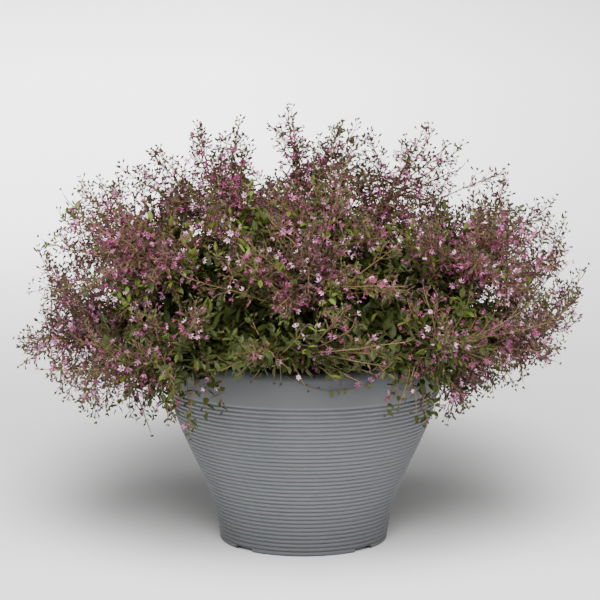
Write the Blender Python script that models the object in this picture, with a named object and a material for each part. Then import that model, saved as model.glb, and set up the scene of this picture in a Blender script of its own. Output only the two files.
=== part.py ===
"""A flowering cuphea in its grey ribbed pot, as one assembly of separate solids.

Metres, +Z up. The origin is the middle of the pot's flat underside, +X is the crown's
widest way and -Y is its front. The pot holds a plug of soil, and a short woody stem
stands on the soil. Boughs rise from the stem, and each ends where it enters its mass
of foliage. A mass is a main twig with leading twigs, leaves and blossoms fused on, and
it keeps to its own cone of space round the stem's head.
"""

import math
import random
from collections import namedtuple

import bmesh
import bpy
from mathutils import Matrix, Vector

# Clearance between separate solids that meet, and the least length that counts
GAP = 0.0003
SMALLEST = 1e-6

# Pot
POT_HEIGHT = 0.214
RIM_RADIUS = 0.155
LIP_ROUND = 0.0016
BAND_DEPTH = 0.040
BAND_FOOT_RADIUS = 0.1515
FOOT_RADIUS = 0.0945
RIB_COUNT = 37
RIB_RELIEF = 0.0010
RIB_CREST = 0.45
BAND_STEP = 0.0016
FLARE_STRAIGHT = 0.35
FLARE_LATE = 1.15
WALL = 0.0032
FLOOR = 0.004
POT_SIDES = 24
NOTCH_COUNT = 4
NOTCH_WIDTH = 0.026
NOTCH_DEPTH = 0.010
NOTCH_HEIGHT = 0.004
SHARP_ANGLE = math.radians(35)

# Soil
SOIL_EDGE = 0.190
SOIL_CROWN = 0.196
SOIL_FLAT_RADIUS = 0.035
SOIL_STEPS = 4

# Woody stem: a short neck with a root flare, under a round head
HUB = Vector((0, 0, 0.215))
HEAD_RADIUS = 0.020
STEM_FLARE_RADIUS = 0.024
STEM_SIDES = 16
HEAD_STEPS = 5
HEAD_START = math.radians(-32)

# Boughs and twigs: radii, sides, and how far each keeps its first heading, in shares of
# its length
BOUGH_FOOT = 0.0032
BOUGH_TIP = 0.0020
BOUGH_SIDES = 5
BOUGH_STEPS = 3
BOUGH_BEND = 0.50
MAIN_FOOT = 0.0020
MAIN_BEND = 0.45
LEADER_FOOT = 0.0016
LEADER_BEND = 0.40
TWIG_SIDES = 3
TWIG_STEPS = 3

# Where a leading twig leaves the main one, in steps of the main one's path: the first for
# a twig close to it, then how much lower for each radian of swing, and the unevenness
LEADER_HIGHEST = 1.6
LEADER_DROP = 2.6
LEADER_JITTER = 0.3

# Leaves and blossoms, larger than life so that few of them fill the crown
LEAF_LENGTH = 0.036
LEAF_WIDTH = 0.021
LEAF_RIDGE = 0.0026
LEAF_WIDEST = 0.42
BLOSSOM_LENGTH = 0.021
BLOSSOM_WIDTH = 0.024
BLOSSOM_DISH = 0.006
PETALS = 4
TIP_SINK = 0.004
SPRIG_STEP = 0.028
SPRIG_LEAN = math.radians(62)
FLOWERING_FROM = 0.72
LEAFY_FROM = 0.71
GOLDEN_TURN = math.radians(137.5)

# Rings of masses: name, count, lift of the aims, first turn and the lifts at which the
# boughs leave the head and end, in degrees, and how far out the boughs end
Ring = namedtuple("Ring", "name count lift first start root_lift root_reach")
RINGS = (
    Ring("skirt", 8, 2, 0, 10, 11, 0.095),
    Ring("shoulder", 6, 33, 30, 38, 33, 0.075),
    Ring("upper", 4, 61, 20, 63, 61, 0.070),
    Ring("top", 1, 90, 0, 90, 90, 0.065),
)

# The crown's outline from the front: the furthest tips, as an angle from +X in degrees
# and a reach from the hub, and how far they swing to the front or back
OUTLINE_TIPS = (
    (-24, 0.200),
    (-10, 0.228),
    (0, 0.276),
    (10, 0.322),
    (19, 0.324),
    (30, 0.322),
    (40, 0.306),
    (53, 0.297),
    (61, 0.290),
    (72, 0.262),
    (81, 0.264),
    (93, 0.277),
    (107, 0.271),
    (116, 0.286),
    (127, 0.285),
    (135, 0.296),
    (143, 0.322),
    (162, 0.320),
    (179, 0.326),
    (196, 0.262),
    (206, 0.215),
)
OUTLINE_SWING = 0.1

# The rest of the crown: how much shallower it is than wide, how its tips lie, and the room
# round each tip
DEPTH_LOSS = 0.07
SHORTER = (0.84, 0.97)
TIP_COUNT = 126
TIP_JITTER = 0.05
MIN_SPREAD = math.radians(11)
MARGIN = 0.001
TIP_ROOM = 0.013
TIP_PULL = 0.04
TIP_PULLS = 6
POT_CLEARANCE = 0.004
CHECK_STEP = 0.004

# The dense inner foliage of a mass: how far it goes out, in shares of the reach, how far
# it keeps from its bough, and the leaves and blossoms that stand out of it
CORE_SHARE = 0.68
CORE_START = 0.006
CORE_LUMPS = (0.76, 1.0)
CORE_SEARCH = 0.12
CORE_SHRINK = 0.94
CORE_SPRIGS = 0.50
CORE_BLOSSOMS = 0.62
CORE_SINK = 0.005
CORE_FACING = 0.2
CORE_RISE = (0.5, 1.1)

# The pot's face shows under the crown at the front, and twigs hang lower at the sides
FRONT_HALF_TURN = math.radians(30)
FRONT_LOWEST = math.radians(5)
SKIRT_LOWEST = math.radians(-24)

# Seeds of the crown's tips, and of the first mass's twigs and sprigs
TIP_SEED = 1711
TWIG_SEED = 1712
SPRIG_SEED = 1812

Mass = namedtuple("Mass", "name bough aim start root")


def clear_scene():
    """Remove every object and mesh that the file holds."""
    for old in list(bpy.data.objects):
        bpy.data.objects.remove(old, do_unlink=True)
    for old in list(bpy.data.meshes):
        bpy.data.meshes.remove(old)


def plain_material(name, colour, roughness, metallic=0.0):
    """A Principled material with one colour."""
    material = bpy.data.materials.new(name)
    material.use_nodes = True
    shader = material.node_tree.nodes["Principled BSDF"]
    shader.inputs["Base Color"].default_value = (*colour, 1.0)
    shader.inputs["Roughness"].default_value = roughness
    shader.inputs["Metallic"].default_value = metallic
    material.diffuse_color = (*colour, 1.0)
    return material


def make_object(name, bm, materials):
    """Turn a bmesh into a named object in the scene."""
    mesh = bpy.data.meshes.new(name)
    bmesh.ops.recalc_face_normals(bm, faces=bm.faces)
    bm.to_mesh(mesh)
    bm.free()
    for material in materials:
        mesh.materials.append(material)
    made = bpy.data.objects.new(name, mesh)
    bpy.context.scene.collection.objects.link(made)
    return made


def apply_modifiers(made):
    """Replace an object's mesh by the mesh that its modifiers give."""
    graph = bpy.context.evaluated_depsgraph_get()
    finished = bpy.data.meshes.new_from_object(made.evaluated_get(graph))
    made.modifiers.clear()
    made.data = finished


# Turned pieces

def turned(name, profile, sides, material):
    """Spin an open profile that starts and ends on the axis."""
    bm = bmesh.new()
    points = [bm.verts.new((radius, 0, height)) for radius, height in profile]
    edges = [bm.edges.new(pair) for pair in zip(points, points[1:])]
    bmesh.ops.spin(bm, geom=points + edges, axis=(0, 0, 1), cent=(0, 0, 0),
                   angle=math.tau, steps=sides, use_merge=True, use_duplicate=False)
    bmesh.ops.remove_doubles(bm, verts=bm.verts, dist=SMALLEST)
    return make_object(name, bm, [material])


def pot_radius(height):
    """The pot's outer radius: a late, easy flare under the rim band, which flares a little."""
    ribbed = POT_HEIGHT - BAND_DEPTH
    if height >= ribbed:
        up = (height - ribbed) / BAND_DEPTH
        return BAND_FOOT_RADIUS + (RIM_RADIUS - BAND_FOOT_RADIUS) * up
    up = max(height, 0.0) / ribbed
    eased = (1 - math.cos(math.pi * up ** FLARE_LATE)) / 2
    flare = FLARE_STRAIGHT * up + (1 - FLARE_STRAIGHT) * eased
    return FOOT_RADIUS + (BAND_FOOT_RADIUS - FOOT_RADIUS) * flare


def inner_radius(height):
    """The pot's inner radius, one wall in from the grooves."""
    return pot_radius(height) - RIB_RELIEF - WALL


def soil_heights():
    """Heights of the inner profile's points, from the floor to the soil's edge."""
    return [FLOOR + (SOIL_EDGE - FLOOR) * k / SOIL_STEPS for k in range(SOIL_STEPS + 1)]


def pot_profile():
    """The ribbed wall from the middle of the underside, over the lip, down to the floor."""
    ribbed = POT_HEIGHT - BAND_DEPTH
    pitch = ribbed / RIB_COUNT
    outside = [(0, 0), (FOOT_RADIUS, 0)]
    for k in range(RIB_COUNT):
        crest = (k + RIB_CREST) * pitch
        groove = (k + 1) * pitch
        outside.append((pot_radius(crest), crest))
        outside.append((pot_radius(groove) - RIB_RELIEF, groove))
    outside.append((pot_radius(ribbed), ribbed + BAND_STEP))
    lip = [(RIM_RADIUS, POT_HEIGHT - LIP_ROUND), (RIM_RADIUS - LIP_ROUND, POT_HEIGHT),
           (inner_radius(POT_HEIGHT), POT_HEIGHT)]
    inside = [(inner_radius(height), height) for height in reversed(soil_heights())]
    return outside + lip + inside + [(0, FLOOR)]


def make_pot(material):
    """The pot, with short notches under the edge of its foot between four broad feet."""
    pot = turned("pot", pot_profile(), POT_SIDES, material)
    bm = bmesh.new()
    for k in range(NOTCH_COUNT):
        turn = math.tau * (k + 0.5) / NOTCH_COUNT
        place = Matrix.Rotation(turn, 4, "Z") @ Matrix.Translation((FOOT_RADIUS, 0, 0))
        size = Matrix.Diagonal((2 * NOTCH_DEPTH, NOTCH_WIDTH, 2 * NOTCH_HEIGHT, 1))
        bmesh.ops.create_cube(bm, size=1, matrix=place @ size)
    cutter = make_object("notch_cutter", bm, [material])
    cut = pot.modifiers.new("notches", "BOOLEAN")
    cut.object = cutter
    cut.operation = "DIFFERENCE"
    apply_modifiers(pot)
    bpy.data.objects.remove(cutter, do_unlink=True)
    return pot


def make_soil(material):
    """The plug of soil that fills the pot, with a low mound and a flat middle."""
    profile = [(0, FLOOR + GAP)]
    for height in soil_heights():
        profile.append((inner_radius(height) - GAP, max(height, FLOOR + GAP)))
    profile += [(SOIL_FLAT_RADIUS, SOIL_CROWN), (0, SOIL_CROWN)]
    return turned("soil", profile, POT_SIDES, material)


def make_stem(material):
    """The short woody stem: a flat cut on the soil, a root flare, a neck and a round head."""
    foot = SOIL_CROWN + GAP
    profile = [(0, foot), (STEM_FLARE_RADIUS, foot)]
    for k in range(HEAD_STEPS + 1):
        lift = HEAD_START + (math.pi / 2 - HEAD_START) * k / HEAD_STEPS
        profile.append((HEAD_RADIUS * math.cos(lift), HUB.z + HEAD_RADIUS * math.sin(lift)))
    return turned("stem", profile, STEM_SIDES, material)


# Paths and limbs

def towards(lift, turn):
    """The unit vector at a lift above level and a turn round Z."""
    level = math.cos(lift)
    return Vector((level * math.cos(turn), level * math.sin(turn), math.sin(lift)))


def curve(start, bend, end, steps):
    """Points of a quadratic curve from start to end, pulled towards bend."""
    points = []
    for k in range(steps + 1):
        t = k / steps
        points.append(start * (1 - t) ** 2 + bend * 2 * t * (1 - t) + end * t ** 2)
    return points


def limb(name, points, foot_radius, tip_radius, sides, material):
    """A tapering limb along a path, with flat ends square to it, or a point as its tip."""
    bm = bmesh.new()
    last = len(points) - 1
    heading = (points[1] - points[0]).normalized()
    turn = Vector((0, 0, 1)).rotation_difference(heading)
    rings = []
    for k, point in enumerate(points):
        ahead = (points[min(k + 1, last)] - points[max(k - 1, 0)]).normalized()
        turn = heading.rotation_difference(ahead) @ turn
        heading = ahead
        radius = foot_radius + (tip_radius - foot_radius) * k / last
        if radius == 0:
            rings.append([bm.verts.new(point)] * sides)
            continue
        place = Matrix.Translation(point) @ turn.to_matrix().to_4x4()
        ring = bmesh.ops.create_circle(bm, segments=sides, radius=radius, matrix=place)
        rings.append(ring["verts"])
    for lower, upper in zip(rings, rings[1:]):
        for k in range(sides):
            corners = (lower[k - 1], lower[k], upper[k], upper[k - 1])
            bm.faces.new(dict.fromkeys(corners))
    bm.faces.new(rings[0])
    if tip_radius > 0:
        bm.faces.new(rings[-1])
    return make_object(name, bm, [material])


def sprig_frame(root, heading, outward):
    """A frame at root with X along heading and Z as near to outward as it goes."""
    side = outward.cross(heading)
    if side.length < SMALLEST:
        side = heading.orthogonal()
    side.normalize()
    up = heading.cross(side)
    frame = Matrix((heading, side, up)).transposed().to_4x4()
    return Matrix.Translation(root) @ frame


def leaf_points():
    """The corners of a leaf: root, tip, two sides and the ridge over its flat back."""
    wide = LEAF_WIDEST * LEAF_LENGTH
    return [Vector((0, 0, 0)), Vector((LEAF_LENGTH, 0, 0)),
            Vector((wide, LEAF_WIDTH / 2, 0)), Vector((wide, -LEAF_WIDTH / 2, 0)),
            Vector((wide, 0, LEAF_RIDGE))]


LEAF_FACES = ((0, 2, 4), (0, 4, 3), (1, 4, 2), (1, 3, 4), (0, 3, 2), (1, 2, 3))


def blossom_points():
    """The corners of a blossom: its root, the petals' tips and the throat."""
    points = [Vector((0, 0, 0)), Vector((BLOSSOM_LENGTH - BLOSSOM_DISH, 0, 0))]
    for k in range(PETALS):
        turn = math.tau * k / PETALS
        radius = BLOSSOM_WIDTH / 2
        points.append(Vector((BLOSSOM_LENGTH, radius * math.cos(turn), radius * math.sin(turn))))
    return points


def blossom_faces():
    """A cone out from the root and a shallow cone back to the throat."""
    faces = []
    for k in range(PETALS):
        here = 2 + k
        after = 2 + (k + 1) % PETALS
        faces.append((0, after, here))
        faces.append((1, here, after))
    return faces


def sprig(name, corners, faces, material):
    """A small closed solid from its corners and faces."""
    bm = bmesh.new()
    made = [bm.verts.new(corner) for corner in corners]
    for face in faces:
        bm.faces.new([made[k] for k in face])
    return make_object(name, bm, [material])


# The crown's space

def outline_reach(angle):
    """The outline's reach at an angle from +X, in the plane across the front."""
    degrees = math.degrees(angle)
    tips = OUTLINE_TIPS
    if degrees <= tips[0][0]:
        return tips[0][1]
    for (low, near), (high, far) in zip(tips, tips[1:]):
        if degrees <= high:
            return near + (far - near) * (degrees - low) / (high - low)
    return tips[-1][1]


def reach(aim):
    """How far the crown reaches along a unit vector from the hub."""
    level = math.hypot(aim.x, aim.y)
    lift = math.atan2(aim.z, level)
    rightward = 0.5 if level < SMALLEST else 0.5 + 0.5 * aim.x / level
    mixed = outline_reach(lift) * rightward + outline_reach(math.pi - lift) * (1 - rightward)
    return mixed * (1 - DEPTH_LOSS * aim.y ** 2)


def lowest_lift(aim):
    """The lowest lift that twigs may take on this side of the crown."""
    from_front = abs(math.atan2(aim.x, -aim.y))
    return FRONT_LOWEST if from_front < FRONT_HALF_TURN else SKIRT_LOWEST


def plan_masses():
    """Name and place every mass, with its bough's start and end."""
    masses = []
    for ring in RINGS:
        for k in range(ring.count):
            turn = math.radians(ring.first + 360 * k / ring.count)
            name = f"{ring.name}_mass_{k + 1}"
            bough = f"{ring.name}_bough_{k + 1}"
            aim = towards(math.radians(ring.lift), turn)
            start = towards(math.radians(ring.start), turn)
            root = HUB + towards(math.radians(ring.root_lift), turn) * ring.root_reach
            masses.append(Mass(name, bough, aim, start, root))
    return masses


def owner(arm, masses):
    """The mass whose cone holds the vector arm from the hub."""
    return max(masses, key=lambda mass: mass.aim.dot(arm))


def clear_of_pot(point, margin):
    """True where a point stands clear of the pot and the soil."""
    out = math.hypot(point.x, point.y)
    if out > RIM_RADIUS + margin:
        return True
    if point.z > POT_HEIGHT + margin:
        return True
    return point.z < POT_HEIGHT and out > pot_radius(point.z) + margin


def in_space(point, mass, masses, margin=MARGIN):
    """True where a point lies in the mass's own space, past the end of its bough."""
    arm = point - HUB
    if arm.length < (mass.root - HUB).length + MARGIN:
        return False
    if not clear_of_pot(point, POT_CLEARANCE):
        return False
    for other in masses:
        across = mass.aim - other.aim
        if other is not mass and arm.dot(across) < margin * across.length:
            return False
    return True


def fits(points, mass, masses):
    """True where a whole path, past its first point, lies in the mass's space."""
    for a, b in zip(points, points[1:]):
        steps = math.ceil((b - a).length / CHECK_STEP)
        spots = [a.lerp(b, (k + 1) / steps) for k in range(steps)]
        if not all(in_space(spot, mass, masses) for spot in spots):
            return False
    return True


def sprig_fits(corners, mass, masses):
    """True where a leaf or blossom lies in the mass's space, from its root to each corner."""
    return all(fits([corners[0], corner], mass, masses) for corner in corners[1:])


# Growing one mass

def crown_tips():
    """Where twigs end: the outline's tips, then an even fill by the golden turn."""
    chance = random.Random(TIP_SEED)
    tips = []
    for degrees, far in OUTLINE_TIPS:
        angle = math.radians(degrees)
        swing = chance.uniform(-OUTLINE_SWING, OUTLINE_SWING)
        aim = Vector((math.cos(angle), swing, math.sin(angle))).normalized()
        tips.append(aim * (far - BLOSSOM_LENGTH + TIP_SINK))
    lowest = math.sin(SKIRT_LOWEST)
    for k in range(TIP_COUNT):
        lift = math.asin(lowest + (1 - lowest) * (k + 0.5) / TIP_COUNT)
        aim = towards(lift, k * GOLDEN_TURN)
        aim += Vector([chance.uniform(-TIP_JITTER, TIP_JITTER) for _ in range(3)])
        aim.normalize()
        arm = aim * (reach(aim) * chance.uniform(*SHORTER) - BLOSSOM_LENGTH + TIP_SINK)
        crowded = any(arm.angle(tip) < MIN_SPREAD for tip in tips)
        if not crowded and math.asin(aim.z) > lowest_lift(aim):
            tips.append(arm)
    return tips


def mass_tips(mass, masses, tips):
    """The mass's own tips, each pulled in until a blossom has room, the middle one first."""
    own = []
    for arm in tips:
        if owner(arm, masses) is not mass:
            continue
        for _ in range(TIP_PULLS):
            if in_space(HUB + arm, mass, masses, TIP_ROOM):
                own.append(HUB + arm)
                break
            arm = (arm.normalized() + mass.aim * TIP_PULL).normalized() * arm.length
    return sorted(own, key=lambda tip: (tip - HUB).angle(mass.aim))


def main_path(mass, tip):
    """The mass's main twig, which carries on from the bough."""
    leaving = bough_path(mass)
    heading = (leaving[-1] - leaving[-2]).normalized()
    foot = mass.root + heading * GAP
    bend = foot + heading * (tip - foot).length * MAIN_BEND
    return curve(foot, bend, tip, TWIG_STEPS)


def leader_path(main, tip, chance):
    """A leading twig from the main one: the wider it swings, the lower it leaves."""
    axis = main[-1] - main[0]
    wide = axis.angle(tip - main[0])
    place = 1 + max(0.0, LEADER_HIGHEST - LEADER_DROP * wide)
    place += chance.uniform(-LEADER_JITTER, LEADER_JITTER)
    low = int(place)
    share = place - low
    foot = main[low] * (1 - share) + main[low + 1] * share
    heading = (main[low + 1] - main[low]).normalized()
    bend = foot + heading * (tip - foot).length * LEADER_BEND
    return curve(foot, bend, tip, TWIG_STEPS)


def twig_paths(mass, masses, tips, chance):
    """The mass's twigs: the main one to the most central tip that it can reach, then the rest."""
    own = mass_tips(mass, masses, tips)
    first = next(tip for tip in own if fits(main_path(mass, tip), mass, masses))
    main = main_path(mass, first)
    paths = [main]
    for tip in own:
        leader = leader_path(main, tip, chance)
        if tip is not first and fits(leader, mass, masses):
            paths.append(leader)
    return paths


def along(points, distance):
    """The point and heading at a distance along a path."""
    for a, b in zip(points, points[1:]):
        run = (b - a).length
        if distance <= run:
            return a + (b - a) * (distance / run), (b - a) / run
        distance -= run
    return None


def path_length(points):
    """The length of a path."""
    return sum((b - a).length for a, b in zip(points, points[1:]))


def share_of_reach(point):
    """How far out a point lies, as a share of the crown's reach there."""
    arm = point - HUB
    return arm.length / reach(arm.normalized())


def place_sprigs(points, mass, masses, kinds, chance):
    """Leaves where a twig leaves the dense foliage and blossoms along its outer part."""
    total = path_length(points) - TIP_SINK
    placed = []
    distance = total
    turn = chance.uniform(0, math.tau)
    while distance > 0:
        root, heading = along(points, distance)
        share = share_of_reach(root)
        if share < LEAFY_FROM:
            break
        kind = kinds["blossom"] if share > FLOWERING_FROM else kinds["leaf"]
        aside = Matrix.Rotation(turn, 3, heading) @ heading.orthogonal().normalized()
        aims = [heading * math.cos(SPRIG_LEAN) + aside * math.sin(SPRIG_LEAN)]
        if distance == total:
            aims = [heading, heading + mass.aim, mass.aim]
        for aim in aims:
            frame = sprig_frame(root, aim.normalized(), (root - HUB).normalized())
            corners = [frame @ corner for corner in kind["corners"]]
            stands_out = share_of_reach(corners[1]) > CORE_SHARE
            if stands_out and sprig_fits(corners, mass, masses):
                placed.append((kind, corners))
                break
        turn += GOLDEN_TURN
        distance -= SPRIG_STEP
    return placed


def in_core(point, near, mass, masses):
    """True where a point lies in the dense part of the mass's space, above the rim."""
    if (point - HUB).length < near or point.z < POT_HEIGHT + POT_CLEARANCE:
        return False
    return share_of_reach(point) < CORE_SHARE and in_space(point, mass, masses)


def make_core(mass, masses, chance, material):
    """The mass's dense inner foliage: a lumpy ball pressed into the mass's own space."""
    outward = (mass.root - HUB).normalized()
    near = (mass.root - HUB).length + CORE_START
    far = CORE_SHARE * reach(outward)
    centre = HUB + outward * (near + far) / 2
    bm = bmesh.new()
    bmesh.ops.create_icosphere(bm, subdivisions=2, radius=1)
    for vert in bm.verts:
        size = CORE_SEARCH
        place = centre + vert.co * size
        while not in_core(place, near, mass, masses):
            size *= CORE_SHRINK
            place = centre + vert.co * size
        vert.co = centre + vert.co * size * chance.uniform(*CORE_LUMPS)
    return make_object("core", bm, [material])


def core_sprigs(core, mass, masses, kinds, chance):
    """Leaves and blossoms that stand out of the dense foliage, each from its own facet."""
    placed = []
    for facet in core.data.polygons:
        normal = facet.normal
        outward = (facet.center - HUB).normalized()
        aside = normal.orthogonal().normalized()
        aside = Matrix.Rotation(chance.uniform(0, math.tau), 3, normal) @ aside
        aim = (aside + normal * chance.uniform(*CORE_RISE)).normalized()
        wanted = chance.random() < CORE_SPRIGS
        flowering = chance.random() < CORE_BLOSSOMS
        if not wanted or normal.dot(outward) < CORE_FACING:
            continue
        kind = kinds["leaf"]
        if flowering:
            kind = kinds["blossom"]
            aim = (normal + outward).normalized()
        frame = sprig_frame(facet.center - normal * CORE_SINK, aim, outward)
        corners = [frame @ corner for corner in kind["corners"]]
        if sprig_fits(corners, mass, masses):
            placed.append((kind, corners))
    return placed


def bough_path(mass):
    """A bough from the stem's head to the root of its mass."""
    foot = HUB + mass.start * (HEAD_RADIUS + GAP)
    bend = foot + mass.start * (mass.root - foot).length * BOUGH_BEND
    return curve(foot, bend, mass.root, BOUGH_STEPS)


def keep_largest_shell(made):
    """Drop loose scraps and the shells of sealed hollows that fusing leaves."""
    bm = bmesh.new()
    bm.from_mesh(made.data)
    unseen = set(bm.verts)
    shells = []
    while unseen:
        shell = set()
        edge_of_shell = [unseen.pop()]
        while edge_of_shell:
            vert = edge_of_shell.pop()
            shell.add(vert)
            for edge in vert.link_edges:
                other = edge.other_vert(vert)
                if other in unseen:
                    unseen.remove(other)
                    edge_of_shell.append(other)
        shells.append(shell)
    shells.sort(key=len)
    loose = [vert for shell in shells[:-1] for vert in shell]
    bmesh.ops.delete(bm, geom=loose, context="VERTS")
    bm.to_mesh(made.data)
    bm.free()


def make_mass(mass, masses, tips, kinds, materials):
    """One mass: a main twig with its leading twigs, leaves and blossoms fused on."""
    number = masses.index(mass)
    chance = random.Random(TWIG_SEED + number)
    dressing = random.Random(SPRIG_SEED + number)
    paths = twig_paths(mass, masses, tips, chance)
    made = limb(mass.name, paths[0], MAIN_FOOT, 0, TWIG_SIDES, materials["twig"])
    fused = bpy.data.collections.new(mass.name + "_fused")
    bpy.context.scene.collection.children.link(fused)
    pieces = [limb("leader", path, LEADER_FOOT, 0, TWIG_SIDES, materials["twig"])
              for path in paths[1:]]
    core = make_core(mass, masses, dressing, kinds["leaf"]["material"])
    sprigs = core_sprigs(core, mass, masses, kinds, dressing)
    for path in paths:
        sprigs += place_sprigs(path, mass, masses, kinds, dressing)
    pieces.append(core)
    pieces += [sprig("sprig", corners, kind["faces"], kind["material"])
               for kind, corners in sprigs]
    for piece in pieces:
        fused.objects.link(piece)
        bpy.context.scene.collection.objects.unlink(piece)
    union = made.modifiers.new("fuse", "BOOLEAN")
    union.operation = "UNION"
    union.operand_type = "COLLECTION"
    union.collection = fused
    union.material_mode = "TRANSFER"
    apply_modifiers(made)
    for piece in pieces:
        bpy.data.objects.remove(piece, do_unlink=True)
    bpy.data.collections.remove(fused)
    keep_largest_shell(made)
    return made


def make_boughs(masses, material):
    """One tapering bough to each mass."""
    for mass in masses:
        limb(mass.bough, bough_path(mass), BOUGH_FOOT, BOUGH_TIP, BOUGH_SIDES, material)


def smooth_round_pieces(pieces):
    """Shade the turned pieces smooth, but for their sharp edges."""
    for piece in pieces:
        piece.data.shade_smooth()
        piece.data.set_sharp_from_angle(angle=SHARP_ANGLE)


def main():
    """Build the potted plant."""
    clear_scene()
    materials = {
        "pot": plain_material("grey_plastic", (0.205, 0.213, 0.226), 0.48),
        "soil": plain_material("potting_soil", (0.035, 0.026, 0.020), 0.95),
        "stem": plain_material("woody_stem", (0.115, 0.070, 0.043), 0.80),
        "twig": plain_material("green_twig", (0.150, 0.165, 0.060), 0.65),
    }
    kinds = {
        "leaf": {"corners": leaf_points(), "faces": LEAF_FACES,
                 "material": plain_material("leaf_green", (0.060, 0.125, 0.022), 0.55)},
        "blossom": {"corners": blossom_points(), "faces": blossom_faces(),
                    "material": plain_material("blossom_pink", (0.560, 0.260, 0.480), 0.60)},
    }
    pot = make_pot(materials["pot"])
    soil = make_soil(materials["soil"])
    stem = make_stem(materials["stem"])
    smooth_round_pieces((pot, soil, stem))
    masses = plan_masses()
    make_boughs(masses, materials["stem"])
    tips = crown_tips()
    for mass in masses:
        make_mass(mass, masses, tips, kinds, materials)


main()
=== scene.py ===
"""Looks of a flowering cuphea in its grey ribbed pot, laid out as an add-on.

Metres, +Z up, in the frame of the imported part. The pot, its soil and the woody limbs are
modelled anew round their solids. The masses of foliage are grown again by the rule that
made their solids, and carried on to side shoots, leaves, buds and blossoms.
"""

import functools
import math
import random
from collections import defaultdict, namedtuple

import bmesh
import bpy
import numpy as np
from bpy.props import FloatProperty, FloatVectorProperty, IntProperty, PointerProperty
from mathutils import Matrix, Vector, noise


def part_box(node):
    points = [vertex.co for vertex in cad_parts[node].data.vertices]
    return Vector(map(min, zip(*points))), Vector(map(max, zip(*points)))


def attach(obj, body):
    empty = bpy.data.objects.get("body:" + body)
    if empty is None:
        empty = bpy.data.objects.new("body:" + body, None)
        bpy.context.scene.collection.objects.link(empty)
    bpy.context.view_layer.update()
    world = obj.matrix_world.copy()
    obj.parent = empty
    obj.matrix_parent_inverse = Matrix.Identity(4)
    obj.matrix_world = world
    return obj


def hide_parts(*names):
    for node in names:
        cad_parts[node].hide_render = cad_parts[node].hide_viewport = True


bl_info = {
    "name": "Potted cuphea",
    "version": (1, 0, 0),
    "blender": (4, 5, 0),
    "location": "View3D > Sidebar > Cuphea",
    "description": "Dresses the potted cuphea in ribbed plastic, soil, bark, leaves and blossoms",
    "category": "Add Mesh",
}

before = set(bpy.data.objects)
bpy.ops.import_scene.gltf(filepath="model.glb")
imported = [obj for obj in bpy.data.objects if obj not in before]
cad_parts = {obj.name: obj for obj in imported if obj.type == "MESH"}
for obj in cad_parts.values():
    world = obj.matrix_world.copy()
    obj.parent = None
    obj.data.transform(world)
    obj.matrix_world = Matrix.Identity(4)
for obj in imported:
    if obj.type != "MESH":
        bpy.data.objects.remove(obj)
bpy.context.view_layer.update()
POT_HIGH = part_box("pot")[1]
SOIL_LOW, SOIL_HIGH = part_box("soil")
STEM_LOW, STEM_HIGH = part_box("stem")

BODY = "root"

# Least length that counts
SMALLEST = 1e-6

# Straight up
UP = Vector((0, 0, 1))

# Pot
POT_HEIGHT = POT_HIGH.z
RIM_RADIUS = POT_HIGH.x
BAND_DEPTH = 0.040
BAND_FOOT_RADIUS = 0.1515
FOOT_RADIUS = 0.0945
RIB_COUNT = 37
RIB_PHASES = (0.1, 0.25, 0.45, 0.65, 0.85, 1.0)
LAST_GROOVE_PHASES = 3
GROOVE_SHARPNESS = 1.8
GROOVE_DEEPEST = 1.5
FLARE_STRAIGHT = 0.35
FLARE_LATE = 1.15
WALL = 0.0032
FLOOR = 0.004
POT_SIDES = 120
LIP_STEPS = 8
LIP_FLAT = 0.0016
INNER_HEIGHTS = (0.92, 0.75, 0.5, 0.25, 0.0)
FOOT_ROUND = 0.0012
NOTCH_COUNT = 4
NOTCH_WIDTH = 0.026
NOTCH_DEPTH = 0.010
NOTCH_HEIGHT = 0.004
SHARP_ANGLE = math.radians(40)

# Soil
SOIL_EDGE = 0.190
SOIL_GAP = SMALLEST * 300
SOIL_SIDES = 96
SOIL_SIDE_SHARES = (0.0, 0.33, 0.66, 1.0)
SOIL_RINGS = 30
SOIL_CREST = 1.3
SOIL_RELIEF = 0.0022
COARSE_LUMPS = 60
FINE_LUMPS = 210
FINE_LUMP_SHARE = 0.6
CLOD_COUNT = 520
CLOD_AREA = (0.04, 0.97)
CLOD_SIZES = (0.0012, 0.0036)
CLOD_WIDTHS = (0.5, 0.9)
CLOD_LIFT = 0.2
CLOD_RELIEF = 0.25
CLOD_LUMPS = 2.3

# Woody stem and boughs
HEAD_RADIUS = 0.020
HUB = Vector((0, 0, STEM_HIGH.z - HEAD_RADIUS))
STEM_FLARE_RADIUS = 0.024
STEM_HEAD_FROM = math.radians(-32)
STEM_SIDES = 48
STEM_RINGS = 26
STEM_RELIEF = 0.07
STEM_ROUND = 6
STEM_ALONG = 40
BOUGH_FOOT = 0.0032
BOUGH_TIP = 0.0020
BOUGH_SIDES = 12
BOUGH_RINGS = 28
BOUGH_BEND = 0.50
BARK_RELIEF = 0.13
BARK_ROUND = 3
BARK_ALONG = 70.0
BARK_KNOBS = 260.0
BARK_KNOB_SHARE = 0.6

# Twigs of the source's rule: how far each keeps its first heading, where it leaves the main
# one, its steps, sides and radii, and how far it runs on past the source's tip
MAIN_BEND = 0.45
LEADER_BEND = 0.40
LEADER_HIGHEST = 1.6
LEADER_DROP = 2.6
LEADER_JITTER = 0.3
RULE_STEPS = 3
TWIG_STEPS = 10
TWIG_SIDES = 3
MAIN_FOOT = 0.0019
LEADER_FOOT = 0.0013
TWIG_TIP = 0.00045
TWIG_RUN_ON = 0.0145
TWIG_RUN_ON_STEPS = 2
TWIG_WAVE = 0.0007

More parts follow.
